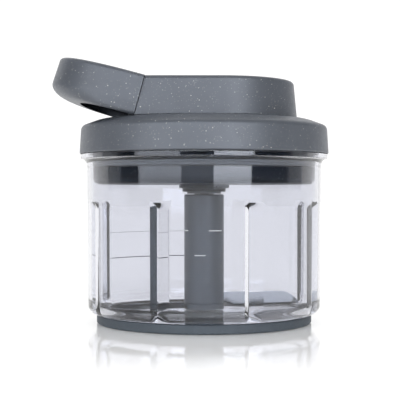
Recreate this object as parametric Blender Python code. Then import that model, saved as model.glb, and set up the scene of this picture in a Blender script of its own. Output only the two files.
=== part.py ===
"""Pull cord food chopper: a clear bowl, a rotor with two blades, and a lid that holds a sprung cord reel.

Metres, +Z up. The origin is the centre of the underside, on the axis of the blades.
The pull handle points to -X, raised by HANDLE_TILT, and leaves the lid along its own length.
"""

import math

import bmesh
import bpy
from mathutils import Matrix, Vector

TAU = 2 * math.pi

# Clearances that many pieces share
SEAT_GAP = 0.0003
RUN_GAP = 0.0003
CUT_OVERRUN = 0.004

# Facets
LARGE_SIDES = 48
MEDIUM_SIDES = 24
SMALL_SIDES = 12
SCREW_SIDES = 8
FILLET_CHORD = 0.0015
MOST_FILLET_STEPS = 4
EDGE_STEPS = 3
MOST_FILLET_SHARE = 0.48

# Anti-slip base
BASE_INSET = 0.0052
BASE_HEIGHT = 0.0049
BASE_FLOOR = 0.0019
BASE_RIM = 0.0010
BASE_SEAT_RUN = 0.0034
BASE_EDGE = 0.0005

# Clear bowl
BOWL_RADIUS = 0.0634
BOWL_TAPER = 0.0005
BOWL_WALL = 0.0025
BOWL_FLOOR = 0.0026
BOWL_HEIGHT = 0.0908
BOWL_FOOT_STEP = 0.0015
BOWL_CORNER_RISE = 0.0072
BOWL_INNER_CORNER = 0.0090
BOWL_OUTER_CORNER = 0.0065
BOWL_FLANGE_REACH = 0.0036
BOWL_FLANGE_HEIGHT = 0.0025
BOWL_FLANGE_EDGE = 0.0006
RIB_COUNT = 8
RIB_DEPTH = 0.0032
RIB_WIDTH = 0.0076
RIB_PLUG_GAP = 0.0095
RIB_FADE = 0.0040
RIB_ROOT = 0.0010
RIB_LEAD = math.radians(2.2)
PIVOT_BOSS_RADIUS = 0.0050
PIVOT_BOSS_RISE = 0.0037
PIVOT_SEAT_DEPTH = 0.0040

# Pivot pin and its loose sleeve
PIN_RADIUS = 0.0025
PIN_LENGTH = 0.0290
PIN_TIP = 0.0006
SLEEVE_WALL = 0.0014
SLEEVE_LENGTH = 0.0250

# Blade shaft
SHAFT_RADIUS = 0.0108
SHAFT_TOP_GAP = 0.0014
SHAFT_FLOOR_GAP = 0.0005
SHAFT_EDGE = 0.0005
SHAFT_LINE_HEIGHT = 0.0050
SHAFT_LINE_DEPTH = 0.0004

# Blades
BLADE_TIP_GAP = 0.0042
BLADE_THICKNESS = 0.0010
BLADE_CHORD = 0.0145
BLADE_PITCH = math.radians(-25)
BLADE_GRIND = 0.0032
BLADE_EDGE = 0.0002
BLADE_TANG_CHORD = 0.0080
BLADE_TANG_START = 0.0066
BLADE_TIP_ROUND = 0.0050
BLADE_SWEEP = 0.0008
LOWER_BLADE_RISE = 0.0036
UPPER_BLADE_RISE = 0.0073
LOWER_BLADE_BEARING = math.radians(198)
BLADE_STATIONS = 9
TIP_STATIONS = 6

# Lid
LID_OVERHANG = 0.0005
LID_SKIRT_DRAFT = 0.0009
LID_SKIRT_HEIGHT = 0.0148
LID_SHOULDER_RUN = 0.0101
LID_SHOULDER_RISE = 0.0037
LID_CROWN_RUN = 0.0105
LID_CROWN_RISE = 0.0006
LID_SHOULDER_ROUND = 0.0036
LID_CROWN_ROUND = 0.0200
LID_WALL = 0.0025
LID_EDGE = 0.0006
PLUG_GAP = 0.0007
PLUG_DEPTH = 0.0163
PLUG_CORNER = 0.0035
PLUG_WALL = 0.0034
PLUG_FLOOR = 0.0025
PLUG_FLANGE_REACH = 0.0043
PLUG_FLANGE_HEIGHT = 0.0020
SEAL_HEIGHT = 0.0033
SEAL_BELOW_FLANGE = 0.0039
SEAL_GROOVE = 0.0017
SEAL_LIP = 0.0005
BOSS_UPPER_RADIUS = 0.0136
BOSS_LOWER_RADIUS = 0.0118
BOSS_STEP = 0.0020

# Drive shaft, bushes and clip
DRIVE_RADIUS = 0.0050
DRIVE_COLLAR_RADIUS = 0.0093
DRIVE_COLLAR_HEIGHT = 0.0035
DRIVE_HEX_FLATS = 0.0090
DRIVE_HEX_LENGTH = 0.0097
REEL_HEX_FLATS = 0.0070
BUSH_WALL = 0.0029
BUSH_FLANGE_REACH = 0.0014
BUSH_FLANGE_HEIGHT = 0.0006
BUSH_HOUSING_WALL = 0.0026
BUSH_HOUSING_RISE = 0.0050
CLIP_THICKNESS = 0.0008
CLIP_REACH = 0.0030
CLIP_GROOVE = 0.0007
CLIP_OPENING = math.radians(70)

# Cord, reel and recoil spring
CORD_DIAMETER = 0.0018
CORD_SPACING = 0.0005
CORD_CORE = 0.0020
CORD_TURNS = 3
CORD_STEPS = 24
REEL_RADIUS = 0.0260
REEL_HUB_RADIUS = 0.0175
REEL_HUB_WALL = 0.0020
REEL_FLOOR = 0.0026
REEL_FLANGE = 0.0014
REEL_EDGE = 0.0004
REEL_CAP_BORE = 0.0066
SPRING_STRIP = 0.0004
SPRING_TURNS = 5
SPRING_STEPS = 16
ARBOR_RADIUS = 0.0026
ARBOR_FLOOR_GAP = 0.0007

# Housing over the reel
HOUSING_END_CENTRE = 0.0085
HOUSING_END_MARGIN = 0.0050
HOUSING_SIDE_MARGIN = 0.0180
HOUSING_DRAFT = 0.0019
HOUSING_WALL = 0.0025
HOUSING_TOP_EDGE = 0.0021
HOUSING_ARC_STEPS = 22
HOUSING_BOSS_RADIUS = 0.0050
HOUSING_BOSS_DROP = 0.0034
HOUSING_BOSS_GAP = 0.0006
HOUSING_BOSS_SEAT = 0.0024

# Pull handle, in its own frame: -X towards the tip, +Z square to its top face
HANDLE_TILT = math.radians(15)
PARTING_REEL_GAP = 0.0094
PARTING_SINK = 0.0006
PARTING_GAP = 0.0003
HANDLE_LENGTH = 0.0499
HANDLE_SIDE_STEP = 0.0005
HANDLE_STRAIGHT = 0.0059
HANDLE_ROUNDNESS = 2.3
HANDLE_DRAFT = 0.0007
HANDLE_TIP_RUN = 0.0130
HANDLE_TIP_RISE = 0.0070
HANDLE_FOOT_ROUND = 0.0016
HANDLE_TOP_EDGE = 0.0020
HANDLE_WALL = 0.0024
HANDLE_ARC_STEPS = 28
HANDLE_EDGE_STEPS = 4
CORD_EXIT_DROP = 0.0021
EYELET_BORE = 0.0014
EYELET_WALL = 0.0017
EYELET_FLANGE_REACH = 0.0016
EYELET_FLANGE_HEIGHT = 0.0011
HANDLE_CORD_HOLE = 0.0014
WASHER_RADIUS = 0.0040
WASHER_THICKNESS = 0.0008
KNOT_RADIUS = 0.0026

# Screws
SCREW_RADIUS = 0.0013
SCREW_HEAD_RADIUS = 0.0027
SCREW_HEAD_HEIGHT = 0.0013
SCREW_TIP = 0.0008
SCREW_POST_WALL = 0.0021
PLUG_SCREW_COUNT = 4
PLUG_SCREW_INSET = 0.0142
PLUG_SCREW_LENGTH = 0.0120
PLUG_PAD_RISE = 0.0018
PLUG_SCREW_RECESS = 0.0018
COVER_SCREW_COUNT = 3
COVER_SCREW_REEL_GAP = 0.0110
COVER_SCREW_LENGTH = 0.0130

# Places that follow from the sizes above
BASE_RADIUS = BOWL_RADIUS - BASE_INSET
BASE_SEAT_RADIUS = BASE_RADIUS - BASE_RIM - BASE_SEAT_RUN
BOWL_FOOT_RADIUS = BASE_SEAT_RADIUS - SEAT_GAP
BOWL_BOTTOM = BASE_FLOOR + SEAT_GAP
BOWL_FLOOR_TOP = BOWL_BOTTOM + BOWL_FLOOR
BOWL_INNER_RADIUS = BOWL_RADIUS - BOWL_WALL
PIVOT_BOSS_TOP = BOWL_FLOOR_TOP + PIVOT_BOSS_RISE
SLEEVE_BOTTOM = PIVOT_BOSS_TOP + SEAT_GAP
SLEEVE_RADIUS = PIN_RADIUS + RUN_GAP + SLEEVE_WALL
BLADE_TIP_RADIUS = BOWL_INNER_RADIUS - RIB_DEPTH - BLADE_TIP_GAP
UPPER_BLADE_BEARING = LOWER_BLADE_BEARING + math.pi
LID_RADIUS = BOWL_RADIUS + BOWL_FLANGE_REACH + LID_OVERHANG
LID_BOTTOM = BOWL_HEIGHT + SEAT_GAP
LID_SHOULDER_FOOT = LID_BOTTOM + LID_SKIRT_HEIGHT
LID_DECK_TOP = LID_SHOULDER_FOOT + LID_SHOULDER_RISE + LID_CROWN_RISE
LID_DECK_UNDER = LID_DECK_TOP - LID_WALL
PLUG_RADIUS = BOWL_INNER_RADIUS - PLUG_GAP
PLUG_SCREW_RING = PLUG_RADIUS - PLUG_SCREW_INSET
PLUG_BOTTOM = LID_BOTTOM - PLUG_DEPTH
PLUG_FLOOR_TOP = PLUG_BOTTOM + PLUG_FLOOR
PLUG_BOSS_BOTTOM = PLUG_BOTTOM - 2 * BOSS_STEP
RIB_HEIGHT = PLUG_BOTTOM - RIB_PLUG_GAP - BOWL_FLOOR_TOP
SHAFT_BOTTOM = BOWL_FLOOR_TOP + SHAFT_FLOOR_GAP
SHAFT_LENGTH = PLUG_BOSS_BOTTOM - SHAFT_TOP_GAP - SHAFT_BOTTOM
SHAFT_TOP = SHAFT_BOTTOM + SHAFT_LENGTH
SEAL_TOP = LID_BOTTOM - SEAL_BELOW_FLANGE
DRIVE_COLLAR_BOTTOM = SHAFT_TOP + RUN_GAP
DRIVE_COLLAR_TOP = DRIVE_COLLAR_BOTTOM + DRIVE_COLLAR_HEIGHT
BUSH_RADIUS = DRIVE_RADIUS + RUN_GAP + BUSH_WALL
BUSH_BORE_RADIUS = DRIVE_RADIUS + RUN_GAP
BUSH_SEAT_RADIUS = BUSH_RADIUS + SEAT_GAP
BUSH_FLANGE_RADIUS = BUSH_RADIUS + BUSH_FLANGE_REACH
BUSH_HOUSING_RADIUS = BUSH_SEAT_RADIUS + BUSH_HOUSING_WALL
LOWER_BUSH_BOTTOM = DRIVE_COLLAR_TOP + RUN_GAP
LOWER_BUSH_SEAT = PLUG_FLOOR_TOP + BUSH_HOUSING_RISE
LOWER_BUSH_TOP = LOWER_BUSH_SEAT + SEAT_GAP + BUSH_FLANGE_HEIGHT
CLIP_BOTTOM = LOWER_BUSH_TOP + RUN_GAP
UPPER_BUSH_BOTTOM = LID_DECK_UNDER - BUSH_HOUSING_RISE
UPPER_BUSH_TOP = LID_DECK_TOP + SEAT_GAP + BUSH_FLANGE_HEIGHT
REEL_BOTTOM = UPPER_BUSH_TOP + RUN_GAP
REEL_FLOOR_TOP = REEL_BOTTOM + REEL_FLOOR
WINDING_BOTTOM = REEL_BOTTOM + REEL_FLANGE + SEAT_GAP
CORD_PITCH = CORD_DIAMETER + CORD_SPACING
WINDING_HEIGHT = CORD_TURNS * CORD_PITCH + CORD_DIAMETER
REEL_HUB_TOP = WINDING_BOTTOM + WINDING_HEIGHT
REEL_CAP_BOTTOM = REEL_HUB_TOP + SEAT_GAP
REEL_CAP_TOP = REEL_CAP_BOTTOM + REEL_FLANGE
CORE_RADIUS = REEL_HUB_RADIUS + SEAT_GAP + CORD_CORE
WINDING_RADIUS = CORE_RADIUS + SEAT_GAP + CORD_DIAMETER / 2
COVER_SCREW_RING = REEL_RADIUS + COVER_SCREW_REEL_GAP
HOUSING_HALF_WIDTH = REEL_RADIUS + HOUSING_SIDE_MARGIN
HOUSING_END_REACH = COVER_SCREW_RING + HOUSING_END_MARGIN
HOUSING_BOSS_BOTTOM = REEL_CAP_TOP + HOUSING_BOSS_GAP
HOUSING_CEILING = HOUSING_BOSS_BOTTOM + HOUSING_BOSS_DROP
HOUSING_TOP = HOUSING_CEILING + HOUSING_WALL
HOUSING_RISE = HOUSING_TOP - LID_DECK_TOP
ARBOR_TOP = HOUSING_BOSS_BOTTOM + HOUSING_BOSS_SEAT
ARBOR_BOTTOM = REEL_FLOOR_TOP + ARBOR_FLOOR_GAP
PARTING_FOOT = REEL_RADIUS + PARTING_REEL_GAP
PARTING_HEIGHT = LID_DECK_TOP - PARTING_SINK
HANDLE_HALF_WIDTH = HOUSING_HALF_WIDTH + HANDLE_SIDE_STEP
HANDLE_THICKNESS = (HOUSING_TOP - PARTING_HEIGHT) / math.cos(HANDLE_TILT)
CORD_LINE_HEIGHT = (REEL_HUB_TOP - CORD_EXIT_DROP - PARTING_HEIGHT) / math.cos(HANDLE_TILT)
EYELET_RADIUS = EYELET_BORE + EYELET_WALL
SCREW_HOLE_RADIUS = SCREW_RADIUS + SEAT_GAP
SCREW_POST_RADIUS = SCREW_HOLE_RADIUS + SCREW_POST_WALL


def clear_scene():
    for thing in list(bpy.data.objects):
        bpy.data.objects.remove(thing, do_unlink=True)


def material(name, colour, roughness, metallic=0.0, alpha=1.0):
    made = bpy.data.materials.new(name)
    made.use_nodes = True
    shader = made.node_tree.nodes["Principled BSDF"]
    shader.inputs["Base Color"].default_value = (*colour, 1)
    shader.inputs["Roughness"].default_value = roughness
    shader.inputs["Metallic"].default_value = metallic
    shader.inputs["Alpha"].default_value = alpha
    return made


def frame(name, location=(0, 0, 0), tilt=0, parent=None):
    """An empty that carries the pieces of one body, with its Z or X axis on the joint."""
    made = bpy.data.objects.new(name, None)
    made.location = location
    made.rotation_euler = (0, tilt, 0)
    made.parent = parent
    bpy.context.scene.collection.objects.link(made)
    return made


def settle(made, parent, location, rotation):
    made.parent = parent
    made.location = location
    made.rotation_euler = rotation
    bpy.context.scene.collection.objects.link(made)
    return made


def solid(name, shape, finish, parent, location=(0, 0, 0), rotation=(0, 0, 0)):
    mesh = bpy.data.meshes.new(name)
    shape.to_mesh(mesh)
    shape.free()
    if finish:
        mesh.materials.append(finish)
    mesh.shade_smooth()
    mesh.set_sharp_from_angle(angle=math.radians(35))
    return settle(bpy.data.objects.new(name, mesh), parent, location, rotation)


def tool(name, shape, parent, location=(0, 0, 0), rotation=(0, 0, 0)):
    """A shape that only cuts or joins others."""
    made = solid(name, shape, None, parent, location, rotation)
    made.hide_render = True
    made.display_type = "WIRE"
    return made


def combine(target, operation, other):
    step = target.modifiers.new(other.name, "BOOLEAN")
    step.operation = operation
    step.object = other
    step.solver = "EXACT"


def rounded(corners):
    """The outline through corners of (x, y, fillet radius). A small fillet comes out as a chamfer."""
    outline = []
    for i, (x, y, radius) in enumerate(corners):
        here = Vector((x, y))
        before = Vector(corners[i - 1][:2]) - here
        after = Vector(corners[(i + 1) % len(corners)][:2]) - here
        half = before.angle(after) / 2
        if radius == 0 or half > math.radians(89):
            outline.append(here)
            continue
        reach = min(radius / math.tan(half), MOST_FILLET_SHARE * min(before.length, after.length))
        inward = (before.normalized() + after.normalized()).normalized()
        centre = here + inward * (reach / math.cos(half))
        start = here + before.normalized() * reach - centre
        end = here + after.normalized() * reach - centre
        sweep = math.atan2(start.x * end.y - start.y * end.x, start.dot(end))
        steps = min(math.ceil(radius / FILLET_CHORD), MOST_FILLET_STEPS)
        outline.extend(
            centre + Matrix.Rotation(sweep * k / steps, 2) @ start for k in range(steps + 1)
        )
    return outline


def turned(outline, sides):
    """A closed outline of (radius, height) points swept round the Z axis."""
    shape = bmesh.new()
    rings = []
    for radius, height in outline:
        around = sides if radius > 0 else 1
        turns = [TAU * k / sides for k in range(around)]
        rings.append(
            [shape.verts.new((radius * math.cos(a), radius * math.sin(a), height)) for a in turns]
        )
    for low, high in zip(rings, rings[1:] + rings[:1]):
        for k in range(sides):
            here, there = k, k + 1
            corners = [
                low[here % len(low)],
                low[there % len(low)],
                high[there % len(high)],
                high[here % len(high)],
            ]
            face = list(dict.fromkeys(corners))
            if len(face) > 2:
                shape.faces.new(face)
    bmesh.ops.recalc_face_normals(shape, faces=shape.faces)
    return shape


def lofted(sections, shape=None):
    """Sections with alike counts of points, bridged in turn and closed by a face at each end."""
    shape = shape or bmesh.new()
    rings = [[shape.verts.new(point) for point in section] for section in sections]
    for low, high in zip(rings, rings[1:]):
        for k in range(len(low)):
            there = (k + 1) % len(low)
            shape.faces.new((low[k], low[there], high[there], high[k]))
    shape.faces.new(rings[0])
    shape.faces.new(rings[-1])
    bmesh.ops.recalc_face_normals(shape, faces=shape.faces)
    return shape


def upright(outline, bottom, top, shape=None):
    """An outline of (x, y) points raised from one height to another."""
    levels = (bottom, top)
    return lofted([[(x, y, level) for x, y in outline] for level in levels], shape)


def circle(radius, sides, centre=(0, 0), turn=0.0):
    return [
        (
            centre[0] + radius * math.cos(turn + TAU * k / sides),
            centre[1] + radius * math.sin(turn + TAU * k / sides),
        )
        for k in range(sides)
    ]


def hexagon(flats):
    return circle(flats / math.sqrt(3), 6)


def ring_places(count, radius, first=0.0):
    turns = [first + TAU * k / count for k in range(count)]
    return [(radius * math.cos(a), radius * math.sin(a)) for a in turns]


def posts(places, radius, bottom, top, sides=SMALL_SIDES):
    """Separate upright cylinders in one mesh."""
    shape = bmesh.new()
    for place in places:
        upright(circle(radius, sides, place), bottom, top, shape)
    return shape


def cord(name, points, finish, parent):
    """An unbroken round cord through the points, with closed ends."""
    curve = bpy.data.curves.new(name, "CURVE")
    curve.dimensions = "3D"
    curve.bevel_depth = CORD_DIAMETER / 2
    curve.bevel_resolution = 1
    curve.use_fill_caps = True
    line = curve.splines.new("POLY")
    line.points.add(len(points) - 1)
    for target, point in zip(line.points, points):
        target.co = (*point, 1)
    curve.materials.append(finish)
    return settle(bpy.data.objects.new(name, curve), parent, (0, 0, 0), (0, 0, 0))


# Bowl and base


def anti_slip_base(finish, parent):
    """A soft tray with a sloped rim that grips the foot of the bowl."""
    outline = rounded(
        [
            (0, 0, 0),
            (BASE_RADIUS, 0, BASE_EDGE),
            (BASE_RADIUS, BASE_HEIGHT, BASE_EDGE),
            (BASE_SEAT_RADIUS + BASE_SEAT_RUN, BASE_HEIGHT, 0),
            (BASE_SEAT_RADIUS, BASE_FLOOR, 0),
            (0, BASE_FLOOR, 0),
        ]
    )
    solid("anti_slip_base", turned(outline, LARGE_SIDES), finish, parent)


def bowl_outside():
    corner_foot = BASE_HEIGHT + SEAT_GAP
    flange_under = BOWL_HEIGHT - BOWL_FLANGE_HEIGHT
    flange_radius = BOWL_RADIUS + BOWL_FLANGE_REACH
    return rounded(
        [
            (0, BOWL_BOTTOM, 0),
            (BOWL_FOOT_RADIUS, BOWL_BOTTOM, BASE_EDGE),
            (BOWL_FOOT_RADIUS + BASE_SEAT_RUN, corner_foot, 0),
            (BOWL_FOOT_RADIUS + BASE_SEAT_RUN + BOWL_FOOT_STEP, corner_foot, BASE_EDGE),
            (BOWL_RADIUS - BOWL_TAPER, corner_foot + BOWL_CORNER_RISE, BOWL_OUTER_CORNER),
            (BOWL_RADIUS, flange_under, BOWL_FLANGE_EDGE),
            (flange_radius, flange_under, BOWL_FLANGE_EDGE),
            (flange_radius, BOWL_HEIGHT, BOWL_FLANGE_EDGE),
            (0, BOWL_HEIGHT, 0),
        ]
    )


def bowl_cavity():
    """The hollow of the bowl, which leaves the pivot boss standing on its floor."""
    pin_hole = PIN_RADIUS + SEAT_GAP
    pin_seat = PIVOT_BOSS_TOP - PIVOT_SEAT_DEPTH
    mouth = BOWL_INNER_RADIUS + BOWL_FLANGE_EDGE
    return rounded(
        [
            (0, pin_seat, 0),
            (pin_hole, pin_seat, 0),
            (pin_hole, PIVOT_BOSS_TOP, 0),
            (PIVOT_BOSS_RADIUS, PIVOT_BOSS_TOP, 0),
            (PIVOT_BOSS_RADIUS, BOWL_FLOOR_TOP, BASE_EDGE),
            (BOWL_INNER_RADIUS - BOWL_TAPER, BOWL_FLOOR_TOP, BOWL_INNER_CORNER),
            (BOWL_INNER_RADIUS, BOWL_HEIGHT - BOWL_FLANGE_EDGE, 0),
            (mouth, BOWL_HEIGHT, 0),
            (mouth, BOWL_HEIGHT + CUT_OVERRUN, 0),
            (0, BOWL_HEIGHT + CUT_OVERRUN, 0),
        ]
    )


def bowl_ribs():
    """Saw-tooth ribs up the wall: a steep face that stops the food, then a slope back to the wall."""
    root = BOWL_INNER_RADIUS + RIB_ROOT
    crest = BOWL_INNER_RADIUS - RIB_DEPTH
    span = RIB_WIDTH / BOWL_INNER_RADIUS
    round_off = span * RIB_DEPTH / RIB_WIDTH / 2
    foot = BOWL_FLOOR_TOP - BOWL_FLOOR / 2
    top = BOWL_FLOOR_TOP + RIB_HEIGHT
    shape = bmesh.new()
    for k in range(RIB_COUNT):
        steep = TAU * (k + 1 / 2) / RIB_COUNT - RIB_LEAD
        outline = [
            (root, steep),
            (crest, steep),
            (crest, steep + round_off),
            (BOWL_INNER_RADIUS, steep + span),
            (root, steep + span),
        ]
        faded = [(max(radius, BOWL_INNER_RADIUS), turn) for radius, turn in outline]
        levels = ((outline, foot), (outline, top - RIB_FADE), (faded, top))
        lofted(
            [
                [(r * math.cos(a), r * math.sin(a), height) for r, a in ring]
                for ring, height in levels
            ],
            shape,
        )
    return shape


def bowl(finish, parent):
    """The cavity tool loses the ribs before it cuts, so that they stay on the wall."""
    made = solid("bowl", turned(bowl_outside(), LARGE_SIDES), finish, parent)
    cavity = tool("bowl_cavity_tool", turned(bowl_cavity(), LARGE_SIDES), parent)
    combine(cavity, "DIFFERENCE", tool("bowl_rib_tool", bowl_ribs(), parent))
    combine(made, "DIFFERENCE", cavity)


def pivot_pin(finish, parent):
    bottom = PIVOT_BOSS_TOP - PIVOT_SEAT_DEPTH + SEAT_GAP
    outline = rounded(
        [
            (0, bottom, 0),
            (PIN_RADIUS, bottom, 0),
            (PIN_RADIUS, bottom + PIN_LENGTH, PIN_TIP),
            (0, bottom + PIN_LENGTH, 0),
        ]
    )
    solid("pivot_pin", turned(outline, SMALL_SIDES), finish, parent)


def pivot_sleeve(finish, parent):
    inner = PIN_RADIUS + RUN_GAP
    top = SLEEVE_BOTTOM + SLEEVE_LENGTH
    outline = [
        (SLEEVE_RADIUS, SLEEVE_BOTTOM),
        (SLEEVE_RADIUS, top),
        (inner, top),
        (inner, SLEEVE_BOTTOM),
    ]
    solid("pivot_sleeve", turned(outline, SMALL_SIDES), finish, parent)


# Rotor


def blade_shaft(finish, parent):
    """The moulded shaft: slots that hold the blades, a bore for the sleeve and a hex socket on top."""
    bore = SLEEVE_RADIUS + RUN_GAP
    bore_top = SLEEVE_BOTTOM + SLEEVE_LENGTH + SEAT_GAP
    mouth = PIVOT_BOSS_RADIUS + RUN_GAP
    mouth_top = SLEEVE_BOTTOM
    line = SHAFT_BOTTOM + SHAFT_LINE_HEIGHT
    outline = rounded(
        [
            (mouth, SHAFT_BOTTOM, 0),
            (SHAFT_RADIUS, SHAFT_BOTTOM, SHAFT_EDGE),
            (SHAFT_RADIUS, line - SHAFT_LINE_DEPTH, 0),
            (SHAFT_RADIUS - SHAFT_LINE_DEPTH, line, 0),
            (SHAFT_RADIUS, line + SHAFT_LINE_DEPTH, 0),
            (SHAFT_RADIUS, SHAFT_TOP, SHAFT_EDGE),
            (0, SHAFT_TOP, 0),
            (0, bore_top, 0),
            (bore, bore_top, 0),
            (bore, mouth_top, 0),
            (mouth, mouth_top, 0),
        ]
    )
    made = solid("blade_shaft", turned(outline, MEDIUM_SIDES), finish, parent)
    socket_bottom = DRIVE_COLLAR_BOTTOM - DRIVE_HEX_LENGTH - SEAT_GAP
    socket = upright(hexagon(DRIVE_HEX_FLATS + 2 * SEAT_GAP), socket_bottom, SHAFT_TOP + CUT_OVERRUN)
    combine(made, "DIFFERENCE", tool("drive_socket_tool", socket, parent))
    for name, rise, bearing in blade_places():
        slot = tool(name + "_slot_tool", blade_slot(), parent)
        slot.location = (0, 0, SHAFT_BOTTOM + rise)
        slot.rotation_euler = (0, 0, bearing)
        combine(made, "DIFFERENCE", slot)


def blade_places():
    return (
        ("lower_blade", LOWER_BLADE_RISE, LOWER_BLADE_BEARING),
        ("upper_blade", UPPER_BLADE_RISE, UPPER_BLADE_BEARING),
    )


def pitched(point):
    """A point of a flat blade, turned about its long axis so that the leading edge is high."""
    return Matrix.Rotation(-BLADE_PITCH, 3, "X") @ Vector(point)


def blade_slot():
    half_chord = BLADE_TANG_CHORD / 2 + SEAT_GAP
    half_height = BLADE_THICKNESS / 2 + SEAT_GAP
    start = BLADE_TANG_START - SEAT_GAP
    end = SHAFT_RADIUS + CUT_OVERRUN
    ring = [
        (-half_chord, -half_height),
        (half_chord, -half_height),
        (half_chord, half_height),
        (-half_chord, half_height),
    ]
    return lofted([[pitched((x, y, z)) for y, z in ring] for x in (start, end)])


def blade_section(x, trailing, leading):
    """One cross-section: flat stock with its leading edge ground from above."""
    half = BLADE_THICKNESS / 2
    grind = max(leading - BLADE_GRIND, (leading + trailing) / 2)
    ring = [
        (trailing, -half),
        (leading, -half),
        (leading, -half + BLADE_EDGE),
        (grind, half),
        (trailing, half),
    ]
    return [pitched((x, y, z)) for y, z in ring]


def blade_sections():
    tang = BLADE_TANG_CHORD / 2
    root = SHAFT_RADIUS + SEAT_GAP
    shoulder = BLADE_TIP_RADIUS - BLADE_TIP_ROUND
    sections = [blade_section(BLADE_TANG_START, -tang, tang), blade_section(root, -tang, tang)]
    half = BLADE_CHORD / 2
    for k in range(BLADE_STATIONS):
        share = k / (BLADE_STATIONS - 1)
        x = root + SEAT_GAP + (shoulder - root - SEAT_GAP) * share
        sweep = BLADE_SWEEP * share * share
        sections.append(blade_section(x, -half, half - sweep))
    for k in range(1, TIP_STATIONS + 1):
        turn = math.pi / 2 * k / (TIP_STATIONS + 1 / 2)
        x = shoulder + BLADE_TIP_ROUND * math.sin(turn)
        leading = -half + (BLADE_CHORD - BLADE_SWEEP) * math.cos(turn) ** (2 / 3)
        sections.append(blade_section(x, -half, leading))
    return sections


def blades(finish, parent):
    for name, rise, bearing in blade_places():
        made = solid(name, lofted(blade_sections()), finish, parent)
        made.location = (0, 0, SHAFT_BOTTOM + rise)
        made.rotation_euler = (0, 0, bearing)


# Lid


def lid_top_corners(lift=0.0):
    """The outside of the lid from its lower edge to the flat deck round the housing."""
    skirt_top = LID_RADIUS - LID_SKIRT_DRAFT
    shoulder = skirt_top - LID_SHOULDER_RUN
    return [
        (LID_RADIUS, LID_BOTTOM + lift, LID_EDGE),
        (skirt_top, LID_SHOULDER_FOOT + lift, LID_SHOULDER_ROUND),
        (shoulder, LID_SHOULDER_FOOT + LID_SHOULDER_RISE + lift, LID_CROWN_ROUND),
        (shoulder - LID_CROWN_RUN, LID_DECK_TOP + lift, 0),
    ]


def lid_shell(finish, parent):
    """Skirt, shoulder and deck in one shell, with a collar for the upper bush and four screw posts."""
    skirt_inner = LID_RADIUS - LID_WALL
    shoulder = LID_RADIUS - LID_SKIRT_DRAFT - LID_SHOULDER_RUN
    collar_bottom = UPPER_BUSH_BOTTOM
    outline = rounded(
        lid_top_corners()
        + [
            (BUSH_SEAT_RADIUS, LID_DECK_TOP, 0),
            (BUSH_SEAT_RADIUS, collar_bottom, 0),
            (BUSH_HOUSING_RADIUS, collar_bottom, 0),
            (BUSH_HOUSING_RADIUS, LID_DECK_UNDER, 0),
            (shoulder - LID_WALL, LID_DECK_UNDER, 0),
            (skirt_inner - LID_SKIRT_DRAFT, LID_SHOULDER_FOOT - LID_WALL / 2, LID_SHOULDER_ROUND / 2),
            (skirt_inner, LID_BOTTOM, 0),
        ]
    )
    made = solid("lid_shell", turned(outline, LARGE_SIDES), finish, parent)
    post_bottom = PLUG_FLOOR_TOP + PLUG_PAD_RISE + SEAT_GAP
    spots = plug_screw_places()
    post = posts(spots, SCREW_POST_RADIUS, post_bottom, LID_DECK_UNDER + LID_WALL / 2, SCREW_SIDES)
    combine(made, "UNION", tool("lid_post_tool", post, parent))
    hole_top = post_bottom + PLUG_SCREW_LENGTH
    hole = posts(spots, SCREW_HOLE_RADIUS, post_bottom - CUT_OVERRUN, hole_top, SCREW_SIDES)
    combine(made, "DIFFERENCE", tool("lid_post_hole_tool", hole, parent))
    spots = cover_screw_places()
    hole = posts(
        spots, SCREW_HOLE_RADIUS, LID_DECK_UNDER - CUT_OVERRUN, LID_DECK_TOP + CUT_OVERRUN, SCREW_SIDES
    )
    combine(made, "DIFFERENCE", tool("deck_hole_tool", hole, parent))


def plug_screw_places():
    return ring_places(PLUG_SCREW_COUNT, PLUG_SCREW_RING, math.pi / PLUG_SCREW_COUNT)


def cover_screw_places():
    return ring_places(COVER_SCREW_COUNT, COVER_SCREW_RING)


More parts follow.
